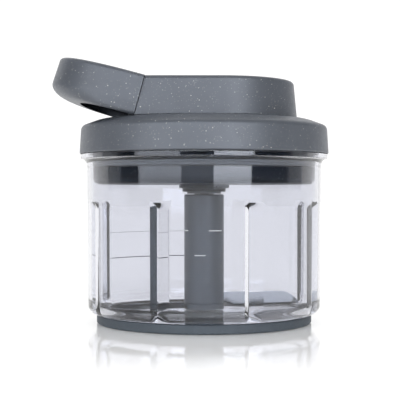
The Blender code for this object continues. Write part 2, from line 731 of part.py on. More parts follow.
def lid_plug(finish, parent):
    """The cup that plugs the bowl: flange, seal groove, stepped boss and the seat of the lower bush."""
    groove = PLUG_RADIUS - SEAL_GROOVE
    flange = PLUG_RADIUS + PLUG_FLANGE_REACH
    inner = PLUG_RADIUS - PLUG_WALL
    collar_hole = DRIVE_COLLAR_RADIUS + RUN_GAP
    flange_top = LID_BOTTOM + PLUG_FLANGE_HEIGHT
    outline = rounded(
        [
            (collar_hole, PLUG_BOSS_BOTTOM, 0),
            (BOSS_LOWER_RADIUS, PLUG_BOSS_BOTTOM, LID_EDGE),
            (BOSS_LOWER_RADIUS, PLUG_BOSS_BOTTOM + BOSS_STEP, 0),
            (BOSS_UPPER_RADIUS, PLUG_BOSS_BOTTOM + BOSS_STEP, LID_EDGE),
            (BOSS_UPPER_RADIUS, PLUG_BOTTOM, 0),
            (PLUG_RADIUS, PLUG_BOTTOM, PLUG_CORNER),
            (PLUG_RADIUS, SEAL_TOP - SEAL_HEIGHT - SEAT_GAP, 0),
            (groove, SEAL_TOP - SEAL_HEIGHT - SEAT_GAP, 0),
            (groove, SEAL_TOP + SEAT_GAP, 0),
            (PLUG_RADIUS, SEAL_TOP + SEAT_GAP, 0),
            (PLUG_RADIUS, LID_BOTTOM, 0),
            (flange, LID_BOTTOM, 0),
            (flange, flange_top, 0),
            (inner, flange_top, 0),
            (inner, PLUG_FLOOR_TOP, PLUG_WALL / 2),
            (BUSH_HOUSING_RADIUS, PLUG_FLOOR_TOP, 0),
            (BUSH_HOUSING_RADIUS, LOWER_BUSH_SEAT, 0),
            (BUSH_SEAT_RADIUS, LOWER_BUSH_SEAT, 0),
            (BUSH_SEAT_RADIUS, LOWER_BUSH_BOTTOM, 0),
            (collar_hole, LOWER_BUSH_BOTTOM, 0),
        ]
    )
    made = solid("lid_plug", turned(outline, LARGE_SIDES), finish, parent)
    spots = plug_screw_places()
    pad_top = PLUG_FLOOR_TOP + PLUG_PAD_RISE
    pad = posts(spots, SCREW_POST_RADIUS, PLUG_FLOOR_TOP - PLUG_FLOOR / 2, pad_top, SCREW_SIDES)
    combine(made, "UNION", tool("plug_pad_tool", pad, parent))
    hole = posts(spots, SCREW_HOLE_RADIUS, PLUG_BOTTOM - CUT_OVERRUN, pad_top + CUT_OVERRUN, SCREW_SIDES)
    combine(made, "DIFFERENCE", tool("plug_hole_tool", hole, parent))
    recess = PLUG_BOTTOM + PLUG_SCREW_RECESS
    head = posts(spots, SCREW_HEAD_RADIUS + SEAT_GAP, PLUG_BOTTOM - CUT_OVERRUN, recess, SCREW_SIDES)
    combine(made, "DIFFERENCE", tool("plug_recess_tool", head, parent))


def lid_seal(finish, parent):
    """A ring with two soft lips in the groove of the plug."""
    inner = PLUG_RADIUS - SEAL_GROOVE + SEAT_GAP
    lip = BOWL_INNER_RADIUS - SEAT_GAP
    waist = lip - SEAL_LIP
    bottom = SEAL_TOP - SEAL_HEIGHT
    outline = [
        (inner, bottom),
        (lip, bottom),
        (lip, bottom + SEAL_HEIGHT / 4),
        (waist, bottom + SEAL_HEIGHT / 2),
        (lip, SEAL_TOP - SEAL_HEIGHT / 4),
        (lip, SEAL_TOP),
        (inner, SEAL_TOP),
    ]
    solid("lid_seal", turned(outline, LARGE_SIDES), finish, parent)


def flanged_bush(name, bottom, seat, finish, parent):
    """A plain bush with a flange that rests on its seat."""
    under = seat + SEAT_GAP
    top = under + BUSH_FLANGE_HEIGHT
    outline = [
        (BUSH_BORE_RADIUS, bottom),
        (BUSH_RADIUS, bottom),
        (BUSH_RADIUS, under),
        (BUSH_FLANGE_RADIUS, under),
        (BUSH_FLANGE_RADIUS, top),
        (BUSH_BORE_RADIUS, top),
    ]
    solid(name, turned(outline, MEDIUM_SIDES), finish, parent)


def screw(name, place, seat, length, finish, parent):
    """A screw driven upwards: its head bears on the seat from below."""
    under = -SCREW_HEAD_HEIGHT - SEAT_GAP
    outline = rounded(
        [
            (0, under, 0),
            (SCREW_HEAD_RADIUS, under, SCREW_TIP),
            (SCREW_HEAD_RADIUS, -SEAT_GAP, 0),
            (SCREW_RADIUS, -SEAT_GAP, 0),
            (SCREW_RADIUS, length - SCREW_TIP, 0),
            (SCREW_RADIUS / 2, length, 0),
            (0, length, 0),
        ]
    )
    solid(name, turned(outline, SCREW_SIDES), finish, parent, (*place, seat))


def screws(finish, parent):
    for k, place in enumerate(plug_screw_places()):
        seat = PLUG_BOTTOM + PLUG_SCREW_RECESS
        screw(f"plug_screw_{k + 1}", place, seat, PLUG_SCREW_LENGTH, finish, parent)
    for k, place in enumerate(cover_screw_places()):
        screw(f"cover_screw_{k + 1}", place, LID_DECK_UNDER, COVER_SCREW_LENGTH, finish, parent)


# Housing


def parting_x(height):
    """Where the parting plane between housing and handle stands at a height."""
    return -PARTING_FOOT + (height - PARTING_HEIGHT) * math.tan(HANDLE_TILT)


def housing_section(height, inset, left_wall):
    reach = HOUSING_END_REACH - inset
    half_width = HOUSING_HALF_WIDTH - inset
    left = parting_x(height) + left_wall / math.cos(HANDLE_TILT)
    ring = [(left, half_width), (left, -half_width)]
    for k in range(HOUSING_ARC_STEPS + 1):
        turn = -math.pi / 2 + math.pi * k / HOUSING_ARC_STEPS
        ring.append((HOUSING_END_CENTRE + reach * math.cos(turn), half_width * math.sin(turn)))
    return [(x, y, height) for x, y in ring]


def housing_draft(height):
    return HOUSING_DRAFT * (height - LID_DECK_TOP) / HOUSING_RISE


def housing_outside():
    foot = LID_DECK_TOP - LID_SHOULDER_RISE
    edge = HOUSING_TOP - HOUSING_TOP_EDGE
    sections = [housing_section(foot, 0, 0)]
    for k in range(EDGE_STEPS + 1):
        turn = math.pi / 2 * k / EDGE_STEPS
        height = edge + HOUSING_TOP_EDGE * math.sin(turn)
        rounding = HOUSING_TOP_EDGE * (1 - math.cos(turn))
        sections.append(housing_section(height, housing_draft(edge) + rounding, 0))
    return lofted(sections)


def housing_inside():
    foot = LID_DECK_TOP - LID_SHOULDER_RISE - CUT_OVERRUN
    heights = (foot, HOUSING_CEILING)
    return lofted(
        [
            housing_section(height, HOUSING_WALL + max(housing_draft(height), 0), HOUSING_WALL)
            for height in heights
        ]
    )


def lid_clearance():
    """The space that the lid fills, raised by one seat gap."""
    outline = rounded(lid_top_corners(SEAT_GAP) + [(0, LID_DECK_TOP + SEAT_GAP, 0)])
    return [*outline, Vector((0, LID_BOTTOM)), Vector((LID_RADIUS, LID_BOTTOM))]


def housing_cover(finish, parent, along_cord):
    """The cover over the reel, hollow below, with screw posts and the seat of the spring arbor."""
    made = solid("housing_cover", housing_outside(), finish, parent)
    combine(made, "DIFFERENCE", tool("housing_inside_tool", housing_inside(), parent))
    top = HOUSING_CEILING + HOUSING_WALL / 2
    spots = cover_screw_places()
    post = posts(spots, SCREW_POST_RADIUS, LID_DECK_TOP - CUT_OVERRUN, top, SCREW_SIDES)
    upright(circle(HOUSING_BOSS_RADIUS, SMALL_SIDES), HOUSING_BOSS_BOTTOM, top, post)
    combine(made, "UNION", tool("housing_post_tool", post, parent))
    hole_top = LID_DECK_UNDER + COVER_SCREW_LENGTH + SEAT_GAP
    hole = posts(spots, SCREW_HOLE_RADIUS, LID_DECK_TOP - 2 * CUT_OVERRUN, hole_top, SCREW_SIDES)
    seat = ARBOR_TOP + SEAT_GAP
    upright(circle(ARBOR_RADIUS + SEAT_GAP, SMALL_SIDES), HOUSING_BOSS_BOTTOM - CUT_OVERRUN, seat, hole)
    combine(made, "DIFFERENCE", tool("housing_hole_tool", hole, parent))
    bore = upright(circle(EYELET_RADIUS + SEAT_GAP, SMALL_SIDES), -CUT_OVERRUN, HOUSING_WALL + CUT_OVERRUN)
    cut = tool("eyelet_hole_tool", bore, parent, *along_cord)
    combine(made, "DIFFERENCE", cut)
    clearance = tool("lid_clearance_tool", turned(lid_clearance(), LARGE_SIDES), parent)
    combine(made, "DIFFERENCE", clearance)
    return clearance


def cord_eyelet(finish, parent, along_cord):
    """The bell-mouthed guide in the parting wall. Its own Z axis points into the housing."""
    mouth = EYELET_BORE + EYELET_WALL / 2
    inside = HOUSING_WALL + SEAT_GAP + EYELET_FLANGE_HEIGHT
    flange = EYELET_RADIUS + EYELET_FLANGE_REACH
    outline = rounded(
        [
            (EYELET_BORE, 0, 0),
            (EYELET_RADIUS, 0, 0),
            (EYELET_RADIUS, HOUSING_WALL + SEAT_GAP, 0),
            (flange, HOUSING_WALL + SEAT_GAP, 0),
            (flange, inside, 0),
            (mouth, inside, 0),
            (EYELET_BORE, HOUSING_WALL, EYELET_BORE),
        ]
    )
    solid("cord_eyelet", turned(outline, SMALL_SIDES), finish, parent, *along_cord)


def spring_arbor(finish, parent):
    outline = rounded(
        [
            (0, ARBOR_BOTTOM, 0),
            (ARBOR_RADIUS, ARBOR_BOTTOM, PIN_TIP),
            (ARBOR_RADIUS, ARBOR_TOP, 0),
            (0, ARBOR_TOP, 0),
        ]
    )
    solid("spring_arbor", turned(outline, SMALL_SIDES), finish, parent)


# Reel


def cord_reel(finish, parent):
    """Lower flange and hollow hub, with a hex hole for the drive shaft."""
    inner = REEL_HUB_RADIUS - REEL_HUB_WALL
    outline = rounded(
        [
            (0, REEL_BOTTOM, 0),
            (REEL_RADIUS, REEL_BOTTOM, REEL_EDGE),
            (REEL_RADIUS, REEL_BOTTOM + REEL_FLANGE, REEL_EDGE),
            (REEL_HUB_RADIUS, REEL_BOTTOM + REEL_FLANGE, 0),
            (REEL_HUB_RADIUS, REEL_HUB_TOP, 0),
            (inner, REEL_HUB_TOP, 0),
            (inner, REEL_FLOOR_TOP, 0),
            (0, REEL_FLOOR_TOP, 0),
        ]
    )
    made = solid("cord_reel", turned(outline, MEDIUM_SIDES), finish, parent)
    hexes = hexagon(REEL_HEX_FLATS + 2 * SEAT_GAP)
    hole = upright(hexes, REEL_BOTTOM - CUT_OVERRUN, REEL_FLOOR_TOP + CUT_OVERRUN)
    combine(made, "DIFFERENCE", tool("reel_hex_tool", hole, parent))


def reel_cap(finish, parent):
    outline = rounded(
        [
            (REEL_CAP_BORE, REEL_CAP_BOTTOM, 0),
            (REEL_RADIUS, REEL_CAP_BOTTOM, REEL_EDGE),
            (REEL_RADIUS, REEL_CAP_TOP, REEL_EDGE),
            (REEL_CAP_BORE, REEL_CAP_TOP, 0),
        ]
    )
    solid("reel_cap", turned(outline, MEDIUM_SIDES), finish, parent)


def drive_shaft(finish, parent):
    """One shaft from the hex that drives the blades to the hex that carries the reel."""
    groove = DRIVE_RADIUS - CLIP_GROOVE
    groove_bottom = CLIP_BOTTOM - SEAT_GAP
    groove_top = CLIP_BOTTOM + CLIP_THICKNESS + SEAT_GAP
    shaft_top = REEL_BOTTOM - RUN_GAP
    outline = rounded(
        [
            (0, DRIVE_COLLAR_BOTTOM, 0),
            (DRIVE_COLLAR_RADIUS, DRIVE_COLLAR_BOTTOM, 0),
            (DRIVE_COLLAR_RADIUS, DRIVE_COLLAR_TOP, 0),
            (DRIVE_RADIUS, DRIVE_COLLAR_TOP, 0),
            (DRIVE_RADIUS, groove_bottom, 0),
            (groove, groove_bottom, 0),
            (groove, groove_top, 0),
            (DRIVE_RADIUS, groove_top, 0),
            (DRIVE_RADIUS, shaft_top, 0),
            (0, shaft_top, 0),
        ]
    )
    made = solid("drive_shaft", turned(outline, MEDIUM_SIDES), finish, parent)
    low = DRIVE_COLLAR_BOTTOM - DRIVE_HEX_LENGTH
    hexes = upright(hexagon(DRIVE_HEX_FLATS), low, DRIVE_COLLAR_BOTTOM + DRIVE_COLLAR_HEIGHT / 2)
    upright(hexagon(REEL_HEX_FLATS), shaft_top - DRIVE_COLLAR_HEIGHT, REEL_FLOOR_TOP, hexes)
    combine(made, "UNION", tool("drive_hex_tool", hexes, parent))


def shaft_clip(finish, parent):
    """An open ring that snaps into the groove of the drive shaft above the lower bush."""
    inner = DRIVE_RADIUS - CLIP_GROOVE + SEAT_GAP
    outer = inner + CLIP_REACH
    half = CLIP_OPENING / 2
    turns = [half + (TAU - CLIP_OPENING) * k / SMALL_SIDES for k in range(SMALL_SIDES + 1)]
    outline = [(outer * math.cos(a), outer * math.sin(a)) for a in turns]
    outline += [(inner * math.cos(a), inner * math.sin(a)) for a in reversed(turns)]
    shape = upright(outline, CLIP_BOTTOM, CLIP_BOTTOM + CLIP_THICKNESS)
    solid("shaft_clip", shape, finish, parent)


def cord_core(finish, parent):
    """The inner layers of the cord as one plain ring on the hub."""
    inner = REEL_HUB_RADIUS + SEAT_GAP
    outline = [
        (inner, WINDING_BOTTOM),
        (CORE_RADIUS, WINDING_BOTTOM),
        (CORE_RADIUS, REEL_HUB_TOP),
        (inner, REEL_HUB_TOP),
    ]
    solid("cord_inner_layers", turned(outline, MEDIUM_SIDES), finish, parent)


def cord_leave_turn(bend):
    """The bearing on the reel from which the cord runs straight to the bend in the eyelet."""
    return math.atan2(bend.y, bend.x) - math.acos(WINDING_RADIUS / bend.xy.length)


def winding_points(bend):
    """The outer layer climbs one pitch a turn and ends where the cord leaves the reel."""
    end = cord_leave_turn(bend)
    count = CORD_TURNS * CORD_STEPS
    points = []
    for k in range(count + 1):
        back = TAU * (count - k) / CORD_STEPS
        turn = end - back
        height = REEL_HUB_TOP - CORD_DIAMETER / 2 - CORD_PITCH * back / TAU
        points.append(
            Vector((WINDING_RADIUS * math.cos(turn), WINDING_RADIUS * math.sin(turn), height))
        )
    return points


def least_gap(points):
    """The least clear space between stretches of one cord that are at least half a turn apart."""
    apart = CORD_STEPS // 2
    spans = [
        (points[i] - points[j]).length
        for i in range(len(points))
        for j in range(i + apart, len(points))
    ]
    return min(spans) - CORD_DIAMETER


def recoil_spring(finish, parent):
    """A flat strip coiled from the arbor out to the wall of the hub."""
    inner = ARBOR_RADIUS + SEAT_GAP + SPRING_STRIP
    outer = REEL_HUB_RADIUS - REEL_HUB_WALL - SEAT_GAP - SPRING_STRIP
    bottom = REEL_FLOOR_TOP + SEAT_GAP
    top = REEL_CAP_BOTTOM - SEAT_GAP
    count = SPRING_TURNS * SPRING_STEPS
    sections = []
    for k in range(count + 1):
        turn = TAU * k / SPRING_STEPS
        middle = inner + (outer - inner) * k / count
        walls = (middle - SPRING_STRIP / 2, middle + SPRING_STRIP / 2)
        ring = ((walls[0], bottom), (walls[1], bottom), (walls[1], top), (walls[0], top))
        sections.append([(r * math.cos(turn), r * math.sin(turn), z) for r, z in ring])
    solid("recoil_spring", lofted(sections), finish, parent)


# Handle, in its own frame


def handle_section(level, reach_loss, inset, start, straight_end):
    """One outline of the handle: straight beside the housing, then a full round tip."""
    half_width = HANDLE_HALF_WIDTH - inset
    reach = HANDLE_LENGTH - straight_end - reach_loss - inset
    power = 2 / HANDLE_ROUNDNESS
    ring = [(-start, -half_width), (-start, half_width)]
    for k in range(HANDLE_ARC_STEPS + 1):
        turn = math.pi / 2 - math.pi * k / HANDLE_ARC_STEPS
        along = abs(math.cos(turn)) ** power if 0 < k < HANDLE_ARC_STEPS else 0
        across = math.copysign(abs(math.sin(turn)) ** power, math.sin(turn))
        ring.append((-straight_end - reach * along, half_width * across))
    return [(x, y, level) for x, y in ring]


def tip_loss(level):
    """How far the round under the tip holds it back at a level."""
    if level >= HANDLE_TIP_RISE:
        return 0
    rise = (HANDLE_TIP_RISE - level) / HANDLE_TIP_RISE
    return HANDLE_TIP_RUN * (1 - math.sqrt(max(1 - rise * rise, 0)))


def foot_inset(level):
    """How far the rounded lower edge of the sides stands in at a level."""
    rise = max(HANDLE_FOOT_ROUND - level, 0) / HANDLE_FOOT_ROUND
    return HANDLE_FOOT_ROUND * (1 - math.sqrt(max(1 - rise * rise, 0)))


def handle_outside():
    sections = []
    for k in range(HANDLE_EDGE_STEPS + 1):
        turn = math.pi / 2 * k / HANDLE_EDGE_STEPS
        level = HANDLE_TIP_RISE * (1 - math.cos(turn))
        sections.append(
            handle_section(level, tip_loss(level), foot_inset(level), PARTING_GAP, HANDLE_STRAIGHT)
        )
    edge = HANDLE_THICKNESS - HANDLE_TOP_EDGE
    for k in range(EDGE_STEPS + 1):
        turn = math.pi / 2 * k / EDGE_STEPS
        level = edge + HANDLE_TOP_EDGE * math.sin(turn)
        inset = HANDLE_DRAFT + HANDLE_TOP_EDGE * (1 - math.cos(turn))
        sections.append(handle_section(level, 0, inset, PARTING_GAP, HANDLE_STRAIGHT))
    return lofted(sections)


def handle_inside():
    """The finger pocket, open below."""
    start = PARTING_GAP + HANDLE_WALL
    ceiling = HANDLE_THICKNESS - HANDLE_WALL
    levels = (-CUT_OVERRUN, 0, HANDLE_TIP_RISE / 2, HANDLE_TIP_RISE, ceiling)
    return lofted(
        [
            handle_section(
                level,
                tip_loss(max(level, 0)) + HANDLE_WALL / 2,
                HANDLE_WALL,
                start,
                HANDLE_STRAIGHT + HANDLE_WALL,
            )
            for level in levels
        ]
    )


def handle_shell(finish, parent, clearance):
    made = solid("handle_shell", handle_outside(), finish, parent)
    combine(made, "DIFFERENCE", tool("handle_inside_tool", handle_inside(), parent))
    hole = upright(circle(HANDLE_CORD_HOLE, SMALL_SIDES), 0, HANDLE_WALL + CUT_OVERRUN)
    cut = tool("handle_hole_tool", hole, parent, (0, 0, CORD_LINE_HEIGHT), (0, -math.pi / 2, 0))
    combine(made, "DIFFERENCE", cut)
    combine(made, "DIFFERENCE", clearance)


def knot_washer(finish, parent):
    outline = [
        (HANDLE_CORD_HOLE, 0),
        (WASHER_RADIUS, 0),
        (WASHER_RADIUS, WASHER_THICKNESS),
        (HANDLE_CORD_HOLE, WASHER_THICKNESS),
    ]
    place = (-PARTING_GAP - HANDLE_WALL - SEAT_GAP, 0, CORD_LINE_HEIGHT)
    solid("knot_washer", turned(outline, SMALL_SIDES), finish, parent, place, (0, -math.pi / 2, 0))


def knot_start():
    """How far along the cord line the knot begins, past the wall and the washer."""
    return PARTING_GAP + HANDLE_WALL + SEAT_GAP + WASHER_THICKNESS + SEAT_GAP


def cord_knot(finish, parent):
    steps = SMALL_SIDES // 2
    outline = [
        (
            KNOT_RADIUS * math.sin(math.pi * k / steps) if 0 < k < steps else 0,
            -KNOT_RADIUS * math.cos(math.pi * k / steps),
        )
        for k in range(steps + 1)
    ]
    place = (-knot_start() - KNOT_RADIUS, 0, CORD_LINE_HEIGHT)
    solid("cord_knot", turned(outline, SMALL_SIDES), finish, parent, place, (0, -math.pi / 2, 0))


def cord_run(bend, outward):
    """From the reel to the eyelet, round its mouth, then along the handle to the knot."""
    turn = cord_leave_turn(bend)
    leave = winding_points(bend)[-1]
    tangent = Vector((-math.sin(turn), math.cos(turn), 0))
    start = leave + tangent * SEAT_GAP
    before = bend + (start - bend).normalized() * EYELET_RADIUS
    after = bend + outward * EYELET_RADIUS
    points = [start, (start + before) / 2]
    for k in range(EDGE_STEPS + 2):
        share = k / (EDGE_STEPS + 1)
        points.append(before * (1 - share) ** 2 + bend * 2 * share * (1 - share) + after * share**2)
    wall = HOUSING_WALL + EYELET_FLANGE_HEIGHT
    end = bend + outward * (wall + knot_start() - SEAT_GAP)
    points.append(end)
    return points


def build():
    clear_scene()
    speckled = material("speckled_plastic", (0.20, 0.22, 0.25), 0.45)
    clear = material("clear_plastic", (0.82, 0.83, 0.90), 0.08, alpha=0.3)
    silicone = material("silicone", (0.10, 0.12, 0.14), 0.65)
    shaft_plastic = material("shaft_plastic", (0.11, 0.13, 0.15), 0.40)
    steel = material("steel", (0.60, 0.61, 0.62), 0.25, 1.0)
    blade_steel = material("blade_steel", (0.55, 0.56, 0.58), 0.18, 1.0)
    acetal = material("acetal", (0.75, 0.75, 0.72), 0.40)
    cord_yarn = material("cord_yarn", (0.55, 0.55, 0.53), 0.85)

    bowl_frame = frame("bowl_frame")
    anti_slip_base(silicone, bowl_frame)
    bowl(clear, bowl_frame)
    pivot_pin(steel, bowl_frame)

    sleeve_frame = frame("sleeve_frame", parent=bowl_frame)
    pivot_sleeve(acetal, sleeve_frame)
    blade_frame = frame("blade_frame", parent=sleeve_frame)
    blade_shaft(shaft_plastic, blade_frame)
    blades(blade_steel, blade_frame)

    lid_frame = frame("lid_frame", parent=bowl_frame)
    parting = (-PARTING_FOOT, 0, PARTING_HEIGHT)
    outward = Vector((-math.cos(HANDLE_TILT), 0, math.sin(HANDLE_TILT)))
    upward = Vector((math.sin(HANDLE_TILT), 0, math.cos(HANDLE_TILT)))
    cord_exit = Vector(parting) + upward * CORD_LINE_HEIGHT
    along_cord = (cord_exit, (0, math.pi / 2 + HANDLE_TILT, 0))
    lid_shell(speckled, lid_frame)
    lid_plug(speckled, lid_frame)
    lid_seal(silicone, lid_frame)
    flanged_bush("lower_bush", LOWER_BUSH_BOTTOM, LOWER_BUSH_SEAT, acetal, lid_frame)
    flanged_bush("upper_bush", UPPER_BUSH_BOTTOM, LID_DECK_TOP, acetal, lid_frame)
    clearance = housing_cover(speckled, lid_frame, along_cord)
    cord_eyelet(acetal, lid_frame, along_cord)
    spring_arbor(steel, lid_frame)
    screws(steel, lid_frame)

    bend = cord_exit - outward * (HOUSING_WALL + EYELET_FLANGE_HEIGHT)
    reel_frame = frame("reel_frame", parent=lid_frame)
    cord_reel(acetal, reel_frame)
    reel_cap(acetal, reel_frame)
    drive_shaft(shaft_plastic, reel_frame)
    shaft_clip(steel, reel_frame)
    cord_core(cord_yarn, reel_frame)
    winding = winding_points(bend)
    cord("cord_winding", winding, cord_yarn, reel_frame)
    print("least gap between turns of the cord, m:", round(least_gap(winding), 6))
    recoil_spring(steel, reel_frame)

    handle_frame = frame("handle_frame", parting, HANDLE_TILT, lid_frame)
    handle_shell(speckled, handle_frame, clearance)
    knot_washer(steel, handle_frame)
    cord_knot(cord_yarn, handle_frame)
    to_handle = (Matrix.Translation(parting) @ Matrix.Rotation(HANDLE_TILT, 4, "Y")).inverted()
    route = [to_handle @ point for point in cord_run(bend, outward)]
    cord("cord_tail", route, cord_yarn, handle_frame)


build()
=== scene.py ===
"""Pull cord food chopper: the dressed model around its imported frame, in metres, +Z up."""

import math

import bmesh
import bpy
from mathutils import Matrix, Vector

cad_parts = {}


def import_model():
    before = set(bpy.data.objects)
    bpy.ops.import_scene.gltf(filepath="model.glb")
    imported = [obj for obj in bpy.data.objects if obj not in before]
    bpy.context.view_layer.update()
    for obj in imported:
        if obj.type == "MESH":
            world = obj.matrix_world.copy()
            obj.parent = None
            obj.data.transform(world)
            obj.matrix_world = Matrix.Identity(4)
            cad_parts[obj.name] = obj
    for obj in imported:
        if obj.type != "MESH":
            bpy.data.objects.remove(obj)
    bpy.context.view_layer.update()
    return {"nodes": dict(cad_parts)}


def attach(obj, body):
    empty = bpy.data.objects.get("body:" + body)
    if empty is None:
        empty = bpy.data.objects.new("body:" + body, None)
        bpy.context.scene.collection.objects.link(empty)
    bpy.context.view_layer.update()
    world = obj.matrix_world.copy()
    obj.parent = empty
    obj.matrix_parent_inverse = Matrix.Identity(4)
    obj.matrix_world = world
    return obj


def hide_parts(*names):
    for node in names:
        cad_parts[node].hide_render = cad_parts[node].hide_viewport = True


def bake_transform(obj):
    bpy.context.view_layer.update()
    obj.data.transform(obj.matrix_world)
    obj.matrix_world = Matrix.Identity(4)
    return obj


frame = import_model()
TAU = 2 * math.pi

# Camera: a long lens at the eye level of the photograph, a little left of the axis
EYE = Vector((-0.0022, -0.6000, 0.0700))
LENS = 99.0
SENSOR = 36.0
EYE_DIP = math.radians(0.36)

# Studio: a bright sky with a dark band at the front, in degrees of azimuth and elevation.
# An edge is the two elevations that it fades between. A front is from, to and softness.
SKY = 1.10
BAND_FOOT = (-0.45, -0.20)
BAND_TOP = (84.0, 62.0)
HIGH_PART = (3.6, 4.4)
LOW_FRONT = (-106.0, 108.0, 2.0)
HIGH_FRONT = (-128.0, 136.0, 9.0)

# Light panels in the band, low at eye level and high above it: from, to, softness, strength.
# The low ones brighten upwards, and the one between them ends at its own top edge.
LOW_PANELS = ((-65.7, -22.0, 0.5, 2.7), (8.9, 45.6, 0.5, 5.5))
MIDDLE_PANEL = (-22.0, 8.9, 0.5, 0.7)
MIDDLE_TOP = (1.6, 1.4)
LOW_CLIMB = (-0.35, 0.65)
CLIMB_SHARE = 0.45
FOOT_GLOW = 0.25
HIGH_PANELS = ((-64.0, -18.0, 3.0, 5.4), (4.0, 46.0, 3.0, 7.6), (-18.0, 4.0, 3.0, 4.6))
HIGH_TOP = (32.0, 24.0)
STEEP = (50.0, 65.0)
STEEP_LOSS = 0.75

# Tilt and foot of the parting plane between housing and handle
TILT = math.radians(15)
PARTING = Vector((-0.0354, 0, 0.1096))
OUTWARD = Vector((-math.cos(TILT), 0, math.sin(TILT)))
UPWARD = Vector((math.sin(TILT), 0, math.cos(TILT)))
HANDLE_FRAME = Matrix.Translation(PARTING) @ Matrix.Rotation(TILT, 4, "Y")

# Bowl: wall, flange with its flares outside and inside, lower corner
BOWL_R = 0.0634
BOWL_WALL = 0.0025
BOWL_INNER = BOWL_R - BOWL_WALL
BOWL_TAPER = 0.0005
BOWL_BOTTOM = 0.0022
BOWL_FLOOR_TOP = 0.0048
BOWL_TOP = 0.0908
FLANGE_REACH = 0.0036
FLANGE_HEIGHT = 0.0025
FLANGE_ROUND = 0.0002
FLARE_FOOT = 0.0839
FLARE_REACH = 0.0030
MOUTH_FOOT = 0.0842
MOUTH_RISE = 0.0044
MOUTH_REACH = 0.0024
MOUTH_TURN = 1.25
CORNER_R = 0.0584
CORNER_Z = 0.0052
CORNER_REACH = 0.0045
CORNER_RISE = 0.0046

# Levels of the grid inside the bowl: above the ribs, below their faded tops, start of the corner
UPPER_LEVELS = (0.0840, 0.0830, 0.0800, 0.0740, 0.0690, 0.0670, 0.0660)
LOWER_LEVELS = (0.0580, 0.0500, 0.0420, 0.0340, 0.0260, 0.0200, 0.0160, 0.0134)
INNER_CORNER_TOP = 0.0124

# Saw-tooth ribs inside the bowl
RIB_COUNT = 8
RIB_DEPTH = 0.0032
RIB_WIDTH = 0.0102
RIB_FLANK = 0.0029
RIB_CREST = 0.0002
RIB_TOP = 0.0653
RIB_FADE = 0.0040
RIB_LEAD = math.radians(3.5)
RIB_SLOPE_POWER = 0.9

# Printed marks: bearings from the front in degrees, then the level
MARK_R = BOWL_R - 0.0001
MARK_DEPTH = 0.00012
MARK_HEIGHT = 0.0005
FAINT_HEIGHT = 0.0002
SHORT_MARKS = ((-8.9, -7.2, 0.0517), (1.9, 7.5, 0.0516), (-4.4, 0.5, 0.0395))
UPPER_LINE = (-180.0, -112.0, 0.0474)
# The lower line is finished dark grey: painted shade on the printed line.
LOWER_LINE = (-180.0, -118.0, 0.0327)

# Blades
BLADE_PITCH = math.radians(25)
BLADE_HALF = 0.00725
BLADE_NECK = 0.0040
BLADE_ROOT = 0.0111
BLADE_SHOULDER = 0.0485
BLADE_TIP = 0.0050
BLADE_NARROWING = 0.0008

# Lid and housing
LID_BOTTOM = 0.0911
DECK_TOP = 0.1102
LID_GAP = 0.0003
HOUSING_TOP = 0.1300
HOUSING_CEILING = 0.1275
HOUSING_CENTRE = 0.0085
HOUSING_REACH = 0.0420
HOUSING_HALF = 0.0440
HOUSING_ROUND = 0.0021
HOUSING_DRAFT = 0.0019
HOUSING_WALL = 0.0025

# Handle, in its own frame
HANDLE_HALF = 0.0445
HANDLE_REACH = 0.0499
HANDLE_START = 0.0003
HANDLE_STRAIGHT = 0.0059
HANDLE_THICK = 0.02112
HANDLE_ROUND = 0.0020
HANDLE_WALL = 0.0024
HANDLE_DRAFT = 0.0007
HANDLE_DRAFT_RUN = 0.0121
HANDLE_ROUNDNESS = 2.3
TIP_RISE = 0.0070
TIP_SWEEP = 0.0130
FOOT_ROUND = 0.0016
POCKET_MARGIN = 0.0008
POCKET_ROUND = 0.0022

# Cord: its line above the foot of the parting plane, and how it leaves the reel
CORD_LINE = 0.010456
CORD_R = 0.0009
CORD_LEVEL = 0.1200
CORD_BEND = 0.0031
WINDING_R = 0.0210
WINDING_CLEAR = 0.0093

# Mesh settings: gap of the holding points, extra inset of the last ring so that a top shades flat,
# angle of a sharp edge in degrees, rounding of moulded edges
HOLD = 0.00030
TOP_INSET = 0.0006
SHARP = 35
MOULDED_ROUND = 0.00035


# Mesh helpers


def meshed(name, shape, matrix=None):
    """Turns a bmesh into a mesh and frees it."""
    mesh = bpy.data.meshes.new(name)
    bmesh.ops.recalc_face_normals(shape, faces=shape.faces)
    shape.to_mesh(mesh)
    shape.free()
    if matrix:
        mesh.transform(matrix)
    return mesh


def shaded(mesh, sharp=SHARP):
    """Smooth shading with hard edges above an angle."""
    mesh.shade_smooth()
    mesh.set_sharp_from_angle(angle=math.radians(sharp))


def finished(name, shape, finish, body, replaces=(), matrix=None, sharp=SHARP):
    """Turns a bmesh into a piece that rides on its body."""
    mesh = meshed(name, shape, matrix)
    mesh.materials.append(finish)
    shaded(mesh, sharp)
    made = bpy.data.objects.new(name, mesh)
    bpy.context.scene.collection.objects.link(made)
    if body:
        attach(made, body)
    if replaces:
        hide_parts(*replaces)
    return made


def soften(made, width, segments=3, angle=40):
    """Rounds the hard edges of a piece."""
    step = made.modifiers.new("edge rounding", "BEVEL")
    step.width = width
    step.segments = segments
    step.limit_method = "ANGLE"
    step.angle_limit = math.radians(angle)
    step.harden_normals = True
    step.miter_outer = "MITER_ARC"


